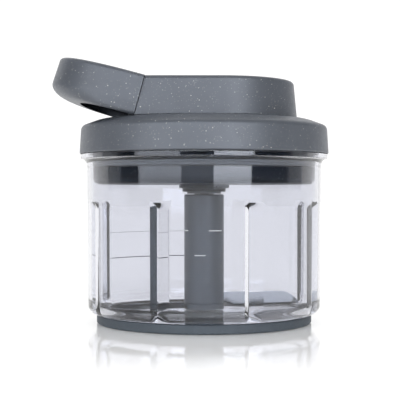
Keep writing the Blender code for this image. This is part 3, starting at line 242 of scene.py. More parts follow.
def carve(made, name, shape, matrix=None):
    """Cuts a shape out of a piece at once, so that no tool is left in the scene."""
    tool = bpy.data.objects.new(name, meshed(name, shape, matrix))
    bpy.context.scene.collection.objects.link(tool)
    step = made.modifiers.new("carve", "BOOLEAN")
    step.operation = "DIFFERENCE"
    step.object = tool
    step.solver = "EXACT"
    graph = bpy.context.evaluated_depsgraph_get()
    graph.update()
    old = made.data
    made.data = bpy.data.meshes.new_from_object(made.evaluated_get(graph))
    made.data.name = old.name
    made.modifiers.clear()
    bpy.data.meshes.remove(old)
    bpy.data.objects.remove(tool, do_unlink=True)
    shaded(made.data)


def rounded(corners, fine=8):
    """The outline through corners of (x, y, radius), with each fillet as an arc."""
    outline = []
    for i, (x, y, radius) in enumerate(corners):
        here = Vector((x, y))
        before = Vector(corners[i - 1][:2]) - here
        after = Vector(corners[(i + 1) % len(corners)][:2]) - here
        half = before.angle(after) / 2
        nearly_straight = half > math.radians(89)
        if radius == 0 or nearly_straight:
            outline.append(here)
            continue
        reach = min(radius / math.tan(half), 0.48 * min(before.length, after.length))
        inward = (before.normalized() + after.normalized()).normalized()
        centre = here + inward * (reach / math.cos(half))
        start = here + before.normalized() * reach - centre
        end = here + after.normalized() * reach - centre
        sweep = math.atan2(start.x * end.y - start.y * end.x, start.dot(end))
        outline += [centre + Matrix.Rotation(sweep * k / fine, 2) @ start for k in range(fine + 1)]
    return outline


def held(outline, closed=True):
    """Adds points near both ends of each long stretch, so that flat walls shade flat."""
    points = [Vector(point) for point in outline]
    made = []
    for here, there in zip(points, points[1:] + (points[:1] if closed else [])):
        made.append(here)
        run = there - here
        if run.length > 6 * HOLD:
            made += [here + run.normalized() * HOLD, there - run.normalized() * HOLD]
    return made if closed else made + points[-1:]


def arc(steps, first=0, sweep=math.pi / 2):
    """The angles of a quarter turn, or of another sweep, in even steps."""
    return [sweep * k / steps for k in range(first, steps + 1)]


def between(start, end, steps):
    """The values that part a stretch evenly, without its ends."""
    return [start + (end - start) * k / steps for k in range(1, steps)]


def skinned(shape, rings):
    """Joins rings of equal count with a skin of four-sided faces."""
    for low, high in zip(rings, rings[1:]):
        for k in range(len(low)):
            there = (k + 1) % len(low)
            shape.faces.new((low[k], low[there], high[there], high[k]))


def lofted(sections, shape=None):
    """A closed solid through sections of equal count."""
    shape = shape or bmesh.new()
    rings = [[shape.verts.new(point) for point in section] for section in sections]
    skinned(shape, rings)
    shape.faces.new(rings[0])
    shape.faces.new(rings[-1])
    return shape


def turned(outline, sides=192):
    """A closed outline of (radius, height) swept round the Z axis."""
    shape = bmesh.new()
    rings = []
    for radius, height in held(outline):
        count = sides if radius > 1e-7 else 1
        points = circle(radius, sides)[:count]
        rings.append([shape.verts.new((x, y, height)) for x, y in points])
    for low, high in zip(rings, rings[1:] + rings[:1]):
        for here in range(sides):
            there = here + 1
            corners = [
                low[here % len(low)],
                low[there % len(low)],
                high[there % len(high)],
                high[here % len(high)],
            ]
            face = list(dict.fromkeys(corners))
            if len(face) > 2:
                shape.faces.new(face)
    return shape


def circle(radius, sides, centre=(0, 0)):
    turns = [TAU * k / sides for k in range(sides)]
    return [(centre[0] + radius * math.cos(a), centre[1] + radius * math.sin(a)) for a in turns]


def upright(outline, bottom, top, shape=None):
    return lofted([[(x, y, level) for x, y in outline] for level in (bottom, top)], shape)


# Materials


class Nodes:
    """A small kit for a node tree."""

    def __init__(self, tree):
        self.tree = tree

    def node(self, kind, **settings):
        made = self.tree.nodes.new(kind)
        for name, value in settings.items():
            setattr(made, name, value)
        return made

    def link(self, start, end):
        self.tree.links.new(start, end)

    def feed(self, socket, value):
        """Gives a socket a number, a colour or another node's output."""
        if isinstance(value, tuple):
            socket.default_value = (*value, 1)
        elif isinstance(value, (int, float)):
            socket.default_value = value
        else:
            self.link(value, socket)

    def span(self, value, low, high, to_low=0.0, to_high=1.0, smooth=False):
        kind = "SMOOTHSTEP" if smooth else "LINEAR"
        made = self.node("ShaderNodeMapRange", interpolation_type=kind)
        ends = {"From Min": low, "From Max": high, "To Min": to_low, "To Max": to_high}
        for name, number in ends.items():
            made.inputs[name].default_value = number
        self.link(value, made.inputs["Value"])
        return made.outputs["Result"]

    def maths(self, operation, *values):
        made = self.node("ShaderNodeMath", operation=operation)
        for socket, value in zip(made.inputs, values):
            self.feed(socket, value)
        return made.outputs[0]

    def mix(self, share, a, b):
        made = self.node("ShaderNodeMix", data_type="RGBA")
        for index, value in ((0, share), (6, a), (7, b)):
            self.feed(made.inputs[index], value)
        return made.outputs[2]


class Look(Nodes):
    """A Principled material and its node tree."""

    def __init__(self, name, **sockets):
        self.material = bpy.data.materials.new(name)
        self.material.use_nodes = True
        super().__init__(self.material.node_tree)
        self.shader = self.tree.nodes["Principled BSDF"]
        for socket, value in sockets.items():
            self.shader.inputs[socket.replace("_", " ")].default_value = value

    def place(self):
        return self.node("ShaderNodeTexCoord").outputs["Object"]

    def noise(self, scale, detail=2.0, rough=0.5, stretch=None):
        made = self.node("ShaderNodeTexNoise")
        made.inputs["Scale"].default_value = scale
        made.inputs["Detail"].default_value = detail
        made.inputs["Roughness"].default_value = rough
        vector = self.place()
        if stretch:
            mapping = self.node("ShaderNodeMapping")
            mapping.inputs["Scale"].default_value = stretch
            self.link(vector, mapping.inputs["Vector"])
            vector = mapping.outputs["Vector"]
        self.link(vector, made.inputs["Vector"])
        return made.outputs["Fac"]

    def cells(self, scale):
        made = self.node("ShaderNodeTexVoronoi", feature="F1")
        made.inputs["Scale"].default_value = scale
        self.link(self.place(), made.inputs["Vector"])
        return made.outputs

    def drift(self, noise, low=0.0, high=1.0):
        """Spreads the usual range of a noise over another range."""
        return self.span(noise, 0.3, 0.7, low, high)

    def colour(self, value):
        self.link(value, self.shader.inputs["Base Color"])

    def tones(self, noise, base, low, high):
        """A base colour that drifts between two shares of itself."""
        ends = [tuple(share * c for c in base) for share in (low, high)]
        return self.mix(self.drift(noise), *ends)

    def roughness(self, value):
        self.link(value, self.shader.inputs["Roughness"])

    def bump(self, height, distance, strength):
        made = self.node("ShaderNodeBump")
        made.inputs["Strength"].default_value = strength
        made.inputs["Distance"].default_value = distance
        self.link(height, made.inputs["Height"])
        self.link(made.outputs["Normal"], self.shader.inputs["Normal"])


# Layers of specks, fine to coarse: cell, radius, share of cells, weakest and strongest grain
SPECKS = (
    (0.0009, 0.00018, 0.50, 0.10, 0.45),
    (0.0019, 0.00026, 0.45, 0.20, 0.95),
    (0.0036, 0.00032, 0.45, 0.40, 1.00),
)


def specks(look, cell, radius, share):
    """Light grains scattered through the plastic: 1 inside a grain, and a random shade for each."""
    grains = look.cells(1 / cell)
    near = look.span(grains["Distance"], radius / cell * 0.8, radius / cell, 1.0, 0.0)
    parts = look.node("ShaderNodeSeparateColor")
    look.link(grains["Color"], parts.inputs["Color"])
    chosen = look.maths("LESS_THAN", parts.outputs["Red"], share)
    return look.maths("MULTIPLY", near, chosen), parts.outputs["Green"]


def speckled(name, base, lighter, roughness=0.42, gloss=0.5):
    """Satin moulded plastic with light mineral specks."""
    look = Look(name, IOR=1.50, Specular_IOR_Level=gloss)
    tone = look.tones(look.noise(90.0, 3.0), base, 0.94, 1.06)
    for cell, radius, share, weak, strong in SPECKS:
        grain, shade = specks(look, cell, radius, share)
        strength = look.maths("MULTIPLY", grain, look.span(shade, 0, 1, weak, strong))
        tone = look.mix(strength, tone, lighter)
    look.colour(tone)
    look.roughness(look.drift(look.noise(420.0), roughness - 0.04, roughness + 0.05))
    look.bump(look.noise(1900.0), 0.00002, 0.35)
    return look.material


def plain(name, base, roughness, grain=800.0, bump=0.00001):
    """One colour with a faint drift in tone and gloss, and a fine grain."""
    look = Look(name)
    look.colour(look.tones(look.noise(grain / 6, 3.0), base, 1 - 0.04, 1 + 0.04))
    look.roughness(look.drift(look.noise(grain / 2), roughness * 0.88, roughness * 1.12))
    look.bump(look.noise(grain), bump, 0.3)
    return look.material


def brushed(name, base, roughness, stretch):
    """Metal with fine lines along one direction."""
    look = Look(name, Metallic=1.0)
    lines = look.noise(260.0, 4.0, 0.6, stretch)
    look.colour(look.tones(lines, base, 0.88, 1.08))
    look.roughness(look.drift(lines, roughness * 0.8, roughness * 1.25))
    look.bump(lines, 0.000008, 0.5)
    return look.material


def clear(name):
    """Clear moulded plastic with a faint violet grey tint and moulding ripples."""
    look = Look(name, Roughness=0.008, IOR=1.47, Transmission_Weight=1.0)
    ripple = look.noise(22.0, 1.0)
    look.colour(look.mix(look.drift(ripple), (0.750, 0.758, 0.804), (0.770, 0.778, 0.820)))
    look.bump(ripple, 0.00002, 0.10)
    return look.material


def yarn(name):
    """Braided polyester: fine ridges all over the cord, darker in the grooves between them as
    painted shade.
    """
    look = Look(name, Roughness=0.85)
    ridges = look.cells(2600.0)["Distance"]
    # The darker colour in the grooves between the ridges is painted shade.
    look.colour(look.mix(look.span(ridges, 0.1, 0.7), (0.66, 0.66, 0.63), (0.40, 0.40, 0.38)))
    look.bump(look.span(ridges, 0.0, 0.8, 1.0, 0.0), 0.00012, 0.8)
    return look.material


LID_GREY = speckled("speckled_grey", (0.0885, 0.0990, 0.1180), (0.66, 0.63, 0.58))
# The plug uses the lid's speckled grey made far darker, as painted shade for the shade it sits in
# under the lid.
PLUG_GREY_PAINTED_SHADE = speckled("plug_grey_painted_shade", (0.017, 0.023, 0.031), (0.20, 0.20, 0.20), 0.40, 0.2)
SHAFT_GREY = plain("shaft_grey", (0.074, 0.092, 0.108), 0.38)
BASE_GREY = plain("base_rubber", (0.075, 0.092, 0.110), 0.62, grain=1500.0, bump=0.00003)
SEAL_GREY = plain("seal_rubber", (0.135, 0.155, 0.175), 0.5)
CLEAR = clear("clear_bowl")
MARKS = plain("printed_marks", (0.52, 0.53, 0.56), 0.5)
# A dark copy of the printed marks, as painted shade for the lower level line.
MARK_PAINTED_SHADE = plain("mark_painted_shade", (0.20, 0.22, 0.25), 0.5)
BLADE = brushed("blade_steel", (0.63, 0.68, 0.75), 0.20, (1.0, 9.0, 9.0))
STEEL = brushed("turned_steel", (0.58, 0.59, 0.60), 0.24, (8.0, 8.0, 1.0))
SPRING = brushed("spring_steel", (0.36, 0.38, 0.42), 0.28, (8.0, 8.0, 1.0))
ACETAL = plain("acetal", (0.74, 0.74, 0.71), 0.38)
YARN = yarn("braided_cord")


# Base and bowl


def base_ring():
    """The shallow soft tray under the bowl, recessed below between its foot and the axis."""
    outline = rounded(
        [
            (0.0, 0.0014, 0),
            (0.0490, 0.0014, 0.0004),
            (0.0496, 0.0000, 0.0004),
            (0.0575, 0.0000, 0.0004),
            (0.0582, 0.0007, 0.0003),
            (0.0582, 0.0049, 0.0006),
            (0.0572, 0.0049, 0.0002),
            (0.0538, 0.0019, 0.0003),
            (0.0, 0.0019, 0),
        ],
        4,
    )
    finished("base_ring", turned(outline), BASE_GREY, "bowl", ["anti_slip_base"])


def rib_profile(turn):
    """How far the wall stands in at a bearing, as a share of the rib's depth."""
    span = RIB_WIDTH / BOWL_INNER
    pitch = TAU / RIB_COUNT
    into = (turn - pitch / 2 + RIB_LEAD) % pitch
    flank = span * RIB_FLANK / RIB_WIDTH
    crest = flank + span * RIB_CREST / RIB_WIDTH
    if into < flank:
        return into / flank
    if into < crest:
        return 1.0
    if into < span:
        return ((span - into) / (span - crest)) ** RIB_SLOPE_POWER
    return 0.0


def rib_bearings():
    """Bearings for the grid of the bowl, close together where the ribs turn sharply."""
    span = RIB_WIDTH / BOWL_INNER
    pitch = TAU / RIB_COUNT
    flank = RIB_FLANK / RIB_WIDTH
    crest = flank + RIB_CREST / RIB_WIDTH
    rise = [0.0, flank / 3, flank * 2 / 3, flank, crest, crest + 0.08]
    slope = [0.5, 0.65, 0.8, 0.9, 0.96, 1.0, 1.06]
    bearings = []
    for k in range(RIB_COUNT):
        steep = pitch * (k + 1 / 2) - RIB_LEAD
        local = [steep + span * share for share in rise + slope]
        end = steep + pitch - span * 0.04
        bearings += local + between(local[-1], end, 13) + [end]
    return bearings


def bowl_outside():
    """Radius and level of the outside, from the underside to the edge of the mouth."""
    under = BOWL_TOP - FLANGE_HEIGHT
    corner = [
        (CORNER_R + CORNER_REACH * math.sin(a), CORNER_Z + CORNER_RISE * (1 - math.cos(a)), 0)
        for a in arc(14, 1)
    ]
    flare = [
        (
            BOWL_R + FLARE_REACH * (1 - math.cos(a)),
            FLARE_FOOT + (under - FLARE_FOOT) * math.sin(a),
            0,
        )
        for a in arc(12, 1)
    ]
    mouth_r = BOWL_INNER + MOUTH_REACH * (1 - math.cos(MOUTH_TURN))
    outline = rounded(
        [
            (0.0, BOWL_BOTTOM, 0),
            (0.0535, BOWL_BOTTOM, 0.0006),
            (0.0569, CORNER_Z, 0.0004),
            (CORNER_R, CORNER_Z, 0),
            *corner,
            (BOWL_R, FLARE_FOOT, 0),
            *flare,
            (BOWL_R + FLANGE_REACH, under, FLANGE_ROUND),
            (BOWL_R + FLANGE_REACH, BOWL_TOP, FLANGE_ROUND),
            (mouth_r, BOWL_TOP, FLANGE_ROUND),
            (0.0, BOWL_TOP, 0),
        ],
        6,
    )
    return held(outline[1:-1], False)


def wall_radius(level):
    return BOWL_INNER - BOWL_TAPER * (BOWL_TOP - level) / BOWL_TOP


def bowl_inside():
    """Radius and level of the inside without its ribs, from the mouth to the socket in the boss."""
    mouth = [
        (BOWL_INNER + MOUTH_REACH * (1 - math.cos(a)), MOUTH_FOOT + MOUTH_RISE * math.sin(a))
        for a in reversed(arc(12, 0, MOUTH_TURN))
    ]
    fade_levels = [RIB_TOP - RIB_FADE * k / 8 for k in range(9)]
    wall = [(wall_radius(z), z) for z in (*UPPER_LEVELS, *fade_levels, *LOWER_LEVELS)]
    foot = rounded(
        [
            (wall_radius(RIB_TOP), RIB_TOP, 0),
            (BOWL_INNER - BOWL_TAPER, BOWL_FLOOR_TOP, 0.0080),
            (0.0050, BOWL_FLOOR_TOP, 0.0012),
            (0.0050, 0.0085, 0.0005),
            (0.0028, 0.0085, 0.0002),
            (0.0028, 0.0045, 0),
        ],
        10,
    )
    return mouth + wall + [point for point in foot if point.y < INNER_CORNER_TOP]


def bowl_piece():
    """The clear bowl as one closed skin: outside, flange, ribbed inside, floor and pivot boss."""
    outside = bowl_outside()
    bearings = rib_bearings()
    profile = [rib_profile(a) for a in bearings]
    crest = BOWL_INNER - RIB_DEPTH
    shape = bmesh.new()

    def ring(radii, level):
        return [
            shape.verts.new((r * math.cos(a), r * math.sin(a), level))
            for r, a in zip(radii, bearings)
        ]

    rings = [ring([radius] * len(bearings), level) for radius, level in outside]
    for radius, level in held([outside[-1]] + bowl_inside(), False)[1:]:
        fade = min(max((RIB_TOP - level) / RIB_FADE, 0.0), 1.0)
        fade = math.sin(fade * math.pi / 2)
        room = max(0.0, radius - crest)
        rings.append(ring([radius - room * (share * fade) for share in profile], level))
    skinned(shape, rings)
    for edge in (rings[0], rings[-1]):
        middle = shape.verts.new((0, 0, edge[0].co.z))
        for here, there in zip(edge, edge[1:] + edge[:1]):
            shape.faces.new((here, there, middle))
    finished("clear_bowl", shape, CLEAR, "bowl", ["bowl"], sharp=28)


def arc_strip(shape, mark, height):
    """A thin raised line round part of the wall."""
    start, end = (math.radians(turn) - math.pi / 2 for turn in mark[:2])
    steps = max(6, int(abs(end - start) / math.radians(1.5)))
    sections = []
    for k in range(steps + 1):
        a = start + (end - start) * k / steps
        section = []
        for t in arc(8, 0, TAU)[:-1]:
            r = MARK_R + MARK_DEPTH * math.cos(t)
            level = mark[2] + height / 2 * math.sin(t)
            section.append((r * math.cos(a), r * math.sin(a), level))
        sections.append(section)
    lofted(sections, shape)


def graduations():
    """Short marks on the front of the wall, and two long level lines on its far left side; the
    lower line is dark grey as painted shade.
    """
    light, grey = bmesh.new(), bmesh.new()
    for mark in SHORT_MARKS:
        arc_strip(light, mark, MARK_HEIGHT)
    arc_strip(light, UPPER_LINE, FAINT_HEIGHT)
    arc_strip(grey, LOWER_LINE, MARK_HEIGHT)
    finished("graduation_marks", light, MARKS, "bowl")
    finished("graduation_line", grey, MARK_PAINTED_SHADE, "bowl")


# Rotor


def shaft_piece():
    """The moulded shaft with its fine line, its bore for the sleeve and its hex socket."""
    outline = rounded(
        [
            (0.0053, 0.0053, 0.0003),
            (0.0108, 0.0053, 0.0008),
            (0.0108, 0.0099, 0.0001),
            (0.0104, 0.0103, 0.0001),
            (0.0108, 0.0107, 0.0001),
            (0.0108, 0.0694, 0.0009),
            (0.0, 0.0694, 0),
            (0.0, 0.0341, 0),
            (0.0045, 0.0341, 0),
            (0.0045, 0.0088, 0),
            (0.0053, 0.0088, 0),
        ],
        5,
    )
    shape = turned(outline, 96)
    made = finished("shaft_tube", shape, SHAFT_GREY, "rotor", ["blade_shaft"])
    across_flats = 0.0096
    carve(made, "hex_socket", upright(circle(across_flats / math.sqrt(3), 6), 0.0597, 0.0720))


def blade_section(x, trailing, leading):
    """A cross-section of a blade at x, pitched with the ground leading edge high."""
    grind, half = 0.0032, 0.0005
    ridge = max(leading - grind, (leading + trailing) / 2)
    edge = [(leading, -half + 0.00003), (leading, -half + 0.00012)]
    section = [(trailing, -half), *edge, (ridge, half), (trailing, half)]
    turn = Matrix.Rotation(BLADE_PITCH, 3, "X")
    return [turn @ Vector((x, y, z)) for y, z in section]


def blade_piece(name, node, bearing, level):
    """One pitched blade, narrow at its root, with a rounded tip."""
    sections = [blade_section(x, -BLADE_NECK, BLADE_NECK) for x in (0.0066, BLADE_ROOT)]
    for k in range(25):
        share = k / 24
        x = BLADE_ROOT + 0.0003 + (BLADE_SHOULDER - BLADE_ROOT - 0.0003) * share
        widening = math.sin(min(share / 0.10, 1.0) * math.pi / 2)
        spread = BLADE_NECK + (BLADE_HALF - BLADE_NECK) * widening
        sections.append(blade_section(x, -spread, spread - BLADE_NARROWING * share * share))
    for k in range(1, 21):
        turn = math.pi / 2 * k / 20.4  # just under a quarter turn, so that the tip keeps a width
        x = BLADE_SHOULDER + BLADE_TIP * math.sin(turn)
        width = (2 * BLADE_HALF - BLADE_NARROWING) * math.cos(turn) ** (2 / 3)
        sections.append(blade_section(x, -BLADE_HALF, -BLADE_HALF + width))
    matrix = Matrix.Translation((0, 0, level)) @ Matrix.Rotation(bearing, 4, "Z")
    shape = lofted(sections)
    made = finished(name, shape, BLADE, "rotor", [node], matrix, sharp=20)
    soften(made, 0.00006, 2, 30)


# Lid


def skirt_piece():
    """The lid's skirt, rolled shoulder and deck, open below, with a collar for the upper bush."""
    outline = rounded(
        [
            (0.0675, LID_BOTTOM, 0.0007),
            (0.0666, 0.1059, 0.0032),
            (0.0565, 0.1096, 0.0200),
            (0.0460, DECK_TOP, 0.0200),
            (0.0082, DECK_TOP, 0.0003),
            (0.0082, 0.1027, 0.0003),
            (0.0108, 0.1027, 0.0003),
            (0.0108, 0.1077, 0.0010),
            (0.0540, 0.1077, 0.0010),
            (0.0640, 0.1047, 0.0018),
            (0.0650, LID_BOTTOM, 0.0007),
        ]
    )
    shape = turned(outline, 256)
    finished("lid_skirt", shape, LID_GREY, "lid", ["lid_shell"])


def lid_space():
    """The lid's own space, with a small gap above it, which housing and handle keep clear of."""
    outline = rounded(
        [
            (0.0675, LID_BOTTOM + LID_GAP, 0.0006),
            (0.0666, 0.1062, 0.0032),
            (0.0565, 0.1099, 0.0200),
            (0.0460, DECK_TOP + LID_GAP, 0),
            (0.0, DECK_TOP + LID_GAP, 0),
        ]
    )
    return turned(outline + [Vector((0, LID_BOTTOM)), Vector((0.0675, LID_BOTTOM))], 128)


def plug_piece():
    """The cup that plugs the bowl, with its seal groove, stepped boss and screw recesses, in a
    darkened grey that is painted shade.
    """
    outline = rounded(
        [
            (0.0096, 0.0708, 0.0002),
            (0.0118, 0.0708, 0.0004),
            (0.0118, 0.0728, 0.0001),
            (0.0136, 0.0728, 0.0004),
            (0.0136, 0.0748, 0.0003),
            (0.0602, 0.0748, 0.0036),
            (0.0602, 0.0836, 0.0002),
            (0.0585, 0.0836, 0.0001),
            (0.0585, 0.0875, 0.0001),
            (0.0602, 0.0875, 0.0002),
            (0.0602, 0.0911, 0.0002),
            (0.0645, 0.0911, 0.0002),
            (0.0645, 0.0931, 0.0002),
            (0.0568, 0.0931, 0.0004),
            (0.0568, 0.0773, 0.0020),
            (0.0108, 0.0773, 0.0004),
            (0.0108, 0.0823, 0.0002),
            (0.0082, 0.0823, 0.0001),
            (0.0082, 0.0735, 0.0001),
            (0.0096, 0.0735, 0.0001),
        ],
        6,
    )
    shape = turned(outline)
    made = finished("lid_plug_cup", shape, PLUG_GREY_PAINTED_SHADE, "lid", ["lid_plug"])
    screw_circle = 0.0460
    recesses = bmesh.new()
    for k in range(4):
        a = TAU * (k + 1 / 2) / 4
        place = (screw_circle * math.cos(a), screw_circle * math.sin(a))
        upright(circle(0.0031, 32, place), 0.0700, 0.0766, recesses)
    carve(made, "screw_recesses", recesses)


def seal_piece():
    """The soft ring with two lips that closes the mouth of the bowl."""
    outline = rounded(
        [
            (0.0588, 0.0839, 0.0002),
            (0.0606, 0.0839, 0.0004),
            (0.0606, 0.0848, 0.0003),
            (0.0601, 0.0855, 0.0004),
            (0.0606, 0.0864, 0.0003),
            (0.0606, 0.0872, 0.0003),
            (0.0588, 0.0872, 0.0002),
        ],
        4,
    )
    finished("seal_ring", turned(outline), SEAL_GREY, "lid", ["lid_seal"])


# Housing


def housing_ring(height, inset, left_wall):
    """A level section of the housing: cut off at the parting plane, elliptical on the right."""
    reach, half = HOUSING_REACH - inset, HOUSING_HALF - inset
    parting = PARTING.x + (height - PARTING.z) * math.tan(TILT)
    left = parting + left_wall / math.cos(TILT)
    ring = [(left, half * share) for share in (1, 0.5, 0, -0.5, -1)]
    ring += [(x, -half) for x in between(left, HOUSING_CENTRE, 7)]
    for k in range(73):
        turn = -math.pi / 2 + math.pi * k / 72
        ring.append((HOUSING_CENTRE + reach * math.cos(turn), half * math.sin(turn)))
    ring += [(x, half) for x in between(HOUSING_CENTRE, left, 7)]
    return [(x, y, height) for x, y in ring]


def housing_piece():
    """The cover over the reel: drafted walls, a rolled top edge and a flat top, hollow below."""
    low = DECK_TOP - 0.0037
    edge = HOUSING_TOP - HOUSING_ROUND

    def drafted(height):
        return HOUSING_DRAFT * (height - DECK_TOP) / (HOUSING_TOP - DECK_TOP)

    sections = [housing_ring(low, 0, 0)]
    for height in (DECK_TOP, DECK_TOP + 0.006, DECK_TOP + 0.012, edge - HOLD):
        sections.append(housing_ring(height, drafted(height), 0))
    for turn in arc(10):
        height = edge + HOUSING_ROUND * math.sin(turn)
        inset = drafted(edge) + HOUSING_ROUND * (1 - math.cos(turn))
        sections.append(housing_ring(height, inset, 0))
    top_inset = drafted(edge) + HOUSING_ROUND + TOP_INSET
    sections.append(housing_ring(HOUSING_TOP, top_inset, 0.0004))
    shape = lofted(sections)
    made = finished("reel_housing", shape, LID_GREY, "lid", ["housing_cover"])
    inside = [
        housing_ring(height, HOUSING_WALL + max(drafted(height), 0), HOUSING_WALL)
        for height in (low - 0.004, HOUSING_CEILING)
    ]
    carve(made, "reel_space", lofted(inside))
    carve(made, "lid_space", lid_space())
    place = Matrix.Translation(PARTING + UPWARD * CORD_LINE)
    along = place @ Matrix.Rotation(math.pi / 2 + TILT, 4, "Y")
    carve(made, "eyelet_bore", upright(circle(0.0034, 32), -0.004, 0.0065), along)
    soften(made, MOULDED_ROUND)


# Handle, in its own frame


def handle_ring(level, reach_loss, inset, start=HANDLE_START, straight=HANDLE_STRAIGHT):
    """A section of the handle: straight at the parting plane, a full round at the tip."""
    half = HANDLE_HALF - inset
    reach = HANDLE_REACH - straight - reach_loss - inset
    power = 2 / HANDLE_ROUNDNESS
    steps = 96
    ring = [(-start, half * share) for share in (-1, -0.5, 0, 0.5, 1)]
    ring += [(x, half) for x in between(-start, -straight, 4)]
    for k in range(steps + 1):
        turn = math.pi / 2 - math.pi * k / steps
        along = abs(math.cos(turn)) ** power if 0 < k < steps else 0
        across = math.copysign(abs(math.sin(turn)) ** power, math.sin(turn))
        ring.append((-straight - reach * along, half * across))
    ring += [(x, -half) for x in between(-straight, -start, 4)]
    return [(x, y, level) for x, y in ring]


def tip_loss(level):
    """How much shorter the handle is near its foot, where the tip sweeps up."""
    rise = max(TIP_RISE - level, 0) / TIP_RISE
    return TIP_SWEEP * (1 - math.sqrt(max(1 - rise * rise, 0)))


def foot_inset(level):
    rise = max(FOOT_ROUND - level, 0) / FOOT_ROUND
    return FOOT_ROUND * (1 - math.sqrt(max(1 - rise * rise, 0)))


def handle_piece():
    """The pull handle: a round slab with a rolled top edge, an upswept tip and a finger pocket."""
    edge = HANDLE_THICK - HANDLE_ROUND
    sections = []
    for turn in arc(12):
        level = TIP_RISE * (1 - math.cos(turn))
        sections.append(handle_ring(level, tip_loss(level), foot_inset(level)))
    for level in (0.0100, 0.0140, edge - HOLD):
        inset = HANDLE_DRAFT * (level - TIP_RISE) / HANDLE_DRAFT_RUN
        sections.append(handle_ring(level, 0, inset))
    for turn in arc(8):
        level = edge + HANDLE_ROUND * math.sin(turn)
        sections.append(handle_ring(level, 0, HANDLE_DRAFT + HANDLE_ROUND * (1 - math.cos(turn))))
    top_inset = HANDLE_DRAFT + HANDLE_ROUND + TOP_INSET
    sections.append(handle_ring(HANDLE_THICK, 0, top_inset, HANDLE_START + TOP_INSET))
    made = finished(
        "pull_handle",
        lofted(sections),
        LID_GREY,
        "handle",
        ["handle_shell"],
        HANDLE_FRAME,
    )

    # The pocket as level and extra inset: a bead near its mouth, and a small fillet at its ceiling
    ceiling = HANDLE_THICK - HANDLE_WALL
    pocket = [(-0.004, POCKET_MARGIN), (0.0, POCKET_MARGIN)]
    for turn in arc(8, 1):
        extra = POCKET_MARGIN + POCKET_ROUND * math.sin(turn)
        pocket.append((POCKET_ROUND * (1 - math.cos(turn)), extra))
    pocket += [(0.0030, 0.0030), (0.0038, 0.0024), (0.0048, 0.0010), (0.0060, 0)]
    pocket += [(ceiling - 0.0010, 0), (ceiling - 0.0003, 0.0003), (ceiling, 0.0010)]
    inside = [
        handle_ring(
            level,
            tip_loss(max(level, 0)) + HANDLE_WALL / 2,
            HANDLE_WALL + extra,
            HANDLE_START + HANDLE_WALL + extra,
            HANDLE_STRAIGHT + HANDLE_WALL + extra,
        )
        for level, extra in pocket
    ]
    carve(made, "finger_pocket", lofted(inside), HANDLE_FRAME)
    place = HANDLE_FRAME @ Matrix.Translation((0, 0, CORD_LINE))
    along = place @ Matrix.Rotation(-math.pi / 2, 4, "Y")
    carve(made, "cord_hole", upright(circle(0.0014, 24), -0.001, 0.0060), along)
    carve(made, "lid_space", lid_space())
    soften(made, MOULDED_ROUND)


def cord_route(bend, after, knot):
    """Points from the reel's tangent round the bend in the eyelet's mouth, then to the knot."""
    turn = math.pi - math.acos(WINDING_R / abs(bend.x))
    start = Vector((WINDING_R * math.cos(turn), WINDING_R * math.sin(turn), CORD_LEVEL))
    start += Vector((-math.sin(turn), math.cos(turn), 0)) * WINDING_CLEAR
    before = bend + (start - bend).normalized() * CORD_BEND
    route = [start + (before - start) * k / 12 for k in range(12)]
    for k in range(17):
        share = k / 16
        rest = 1 - share
        route.append(before * rest**2 + bend * 2 * share * rest + after * share**2)
    return route + [after + (knot - after) * k / 120 for k in range(1, 121)]


def pull_cord():
    """The cord from the reel through the eyelet to the knot."""
    exit_point = PARTING + UPWARD * CORD_LINE
    bend = exit_point - OUTWARD * 0.0036
    after = bend + OUTWARD * CORD_BEND
    knot = exit_point + OUTWARD * 0.0038
    route = cord_route(bend, after, knot)
    side = Vector((0, 1, 0))
    rings = []
    for k, point in enumerate(route):
        along = (route[min(k + 1, len(route) - 1)] - route[max(k - 1, 0)]).normalized()
        side = (side - along * side.dot(along)).normalized()
        other = along.cross(side)
        rings.append([point + side * x + other * y for x, y in circle(CORD_R, 16)])
    made = finished("pull_cord", lofted(rings), YARN, None)
    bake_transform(made)
    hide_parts("cord_tail")


# Finishes of the CAD nodes that stay


def dress(finish, *names):
    for name in names:
        made = frame["nodes"][name]
        made.data.materials.clear()
        made.data.materials.append(finish)


dress(STEEL, "pivot_pin", "spring_arbor", "shaft_clip", "knot_washer")
dress(STEEL, *(f"plug_screw_{k}" for k in (1, 2, 3, 4)))
dress(STEEL, *(f"cover_screw_{k}" for k in (1, 2, 3)))
dress(SPRING, "recoil_spring")
dress(ACETAL, "pivot_sleeve", "lower_bush", "upper_bush", "cord_eyelet", "cord_reel", "reel_cap")
dress(SHAFT_GREY, "drive_shaft")
dress(YARN, "cord_inner_layers", "cord_winding", "cord_knot")
base_ring()
bowl_piece()
graduations()
shaft_piece()
blade_piece("blade_low", "lower_blade", math.radians(198), 0.0089)
blade_piece("blade_high", "upper_blade", math.radians(378), 0.0126)
skirt_piece()
plug_piece()
seal_piece()
housing_piece()
handle_piece()
pull_cord()


# Stage


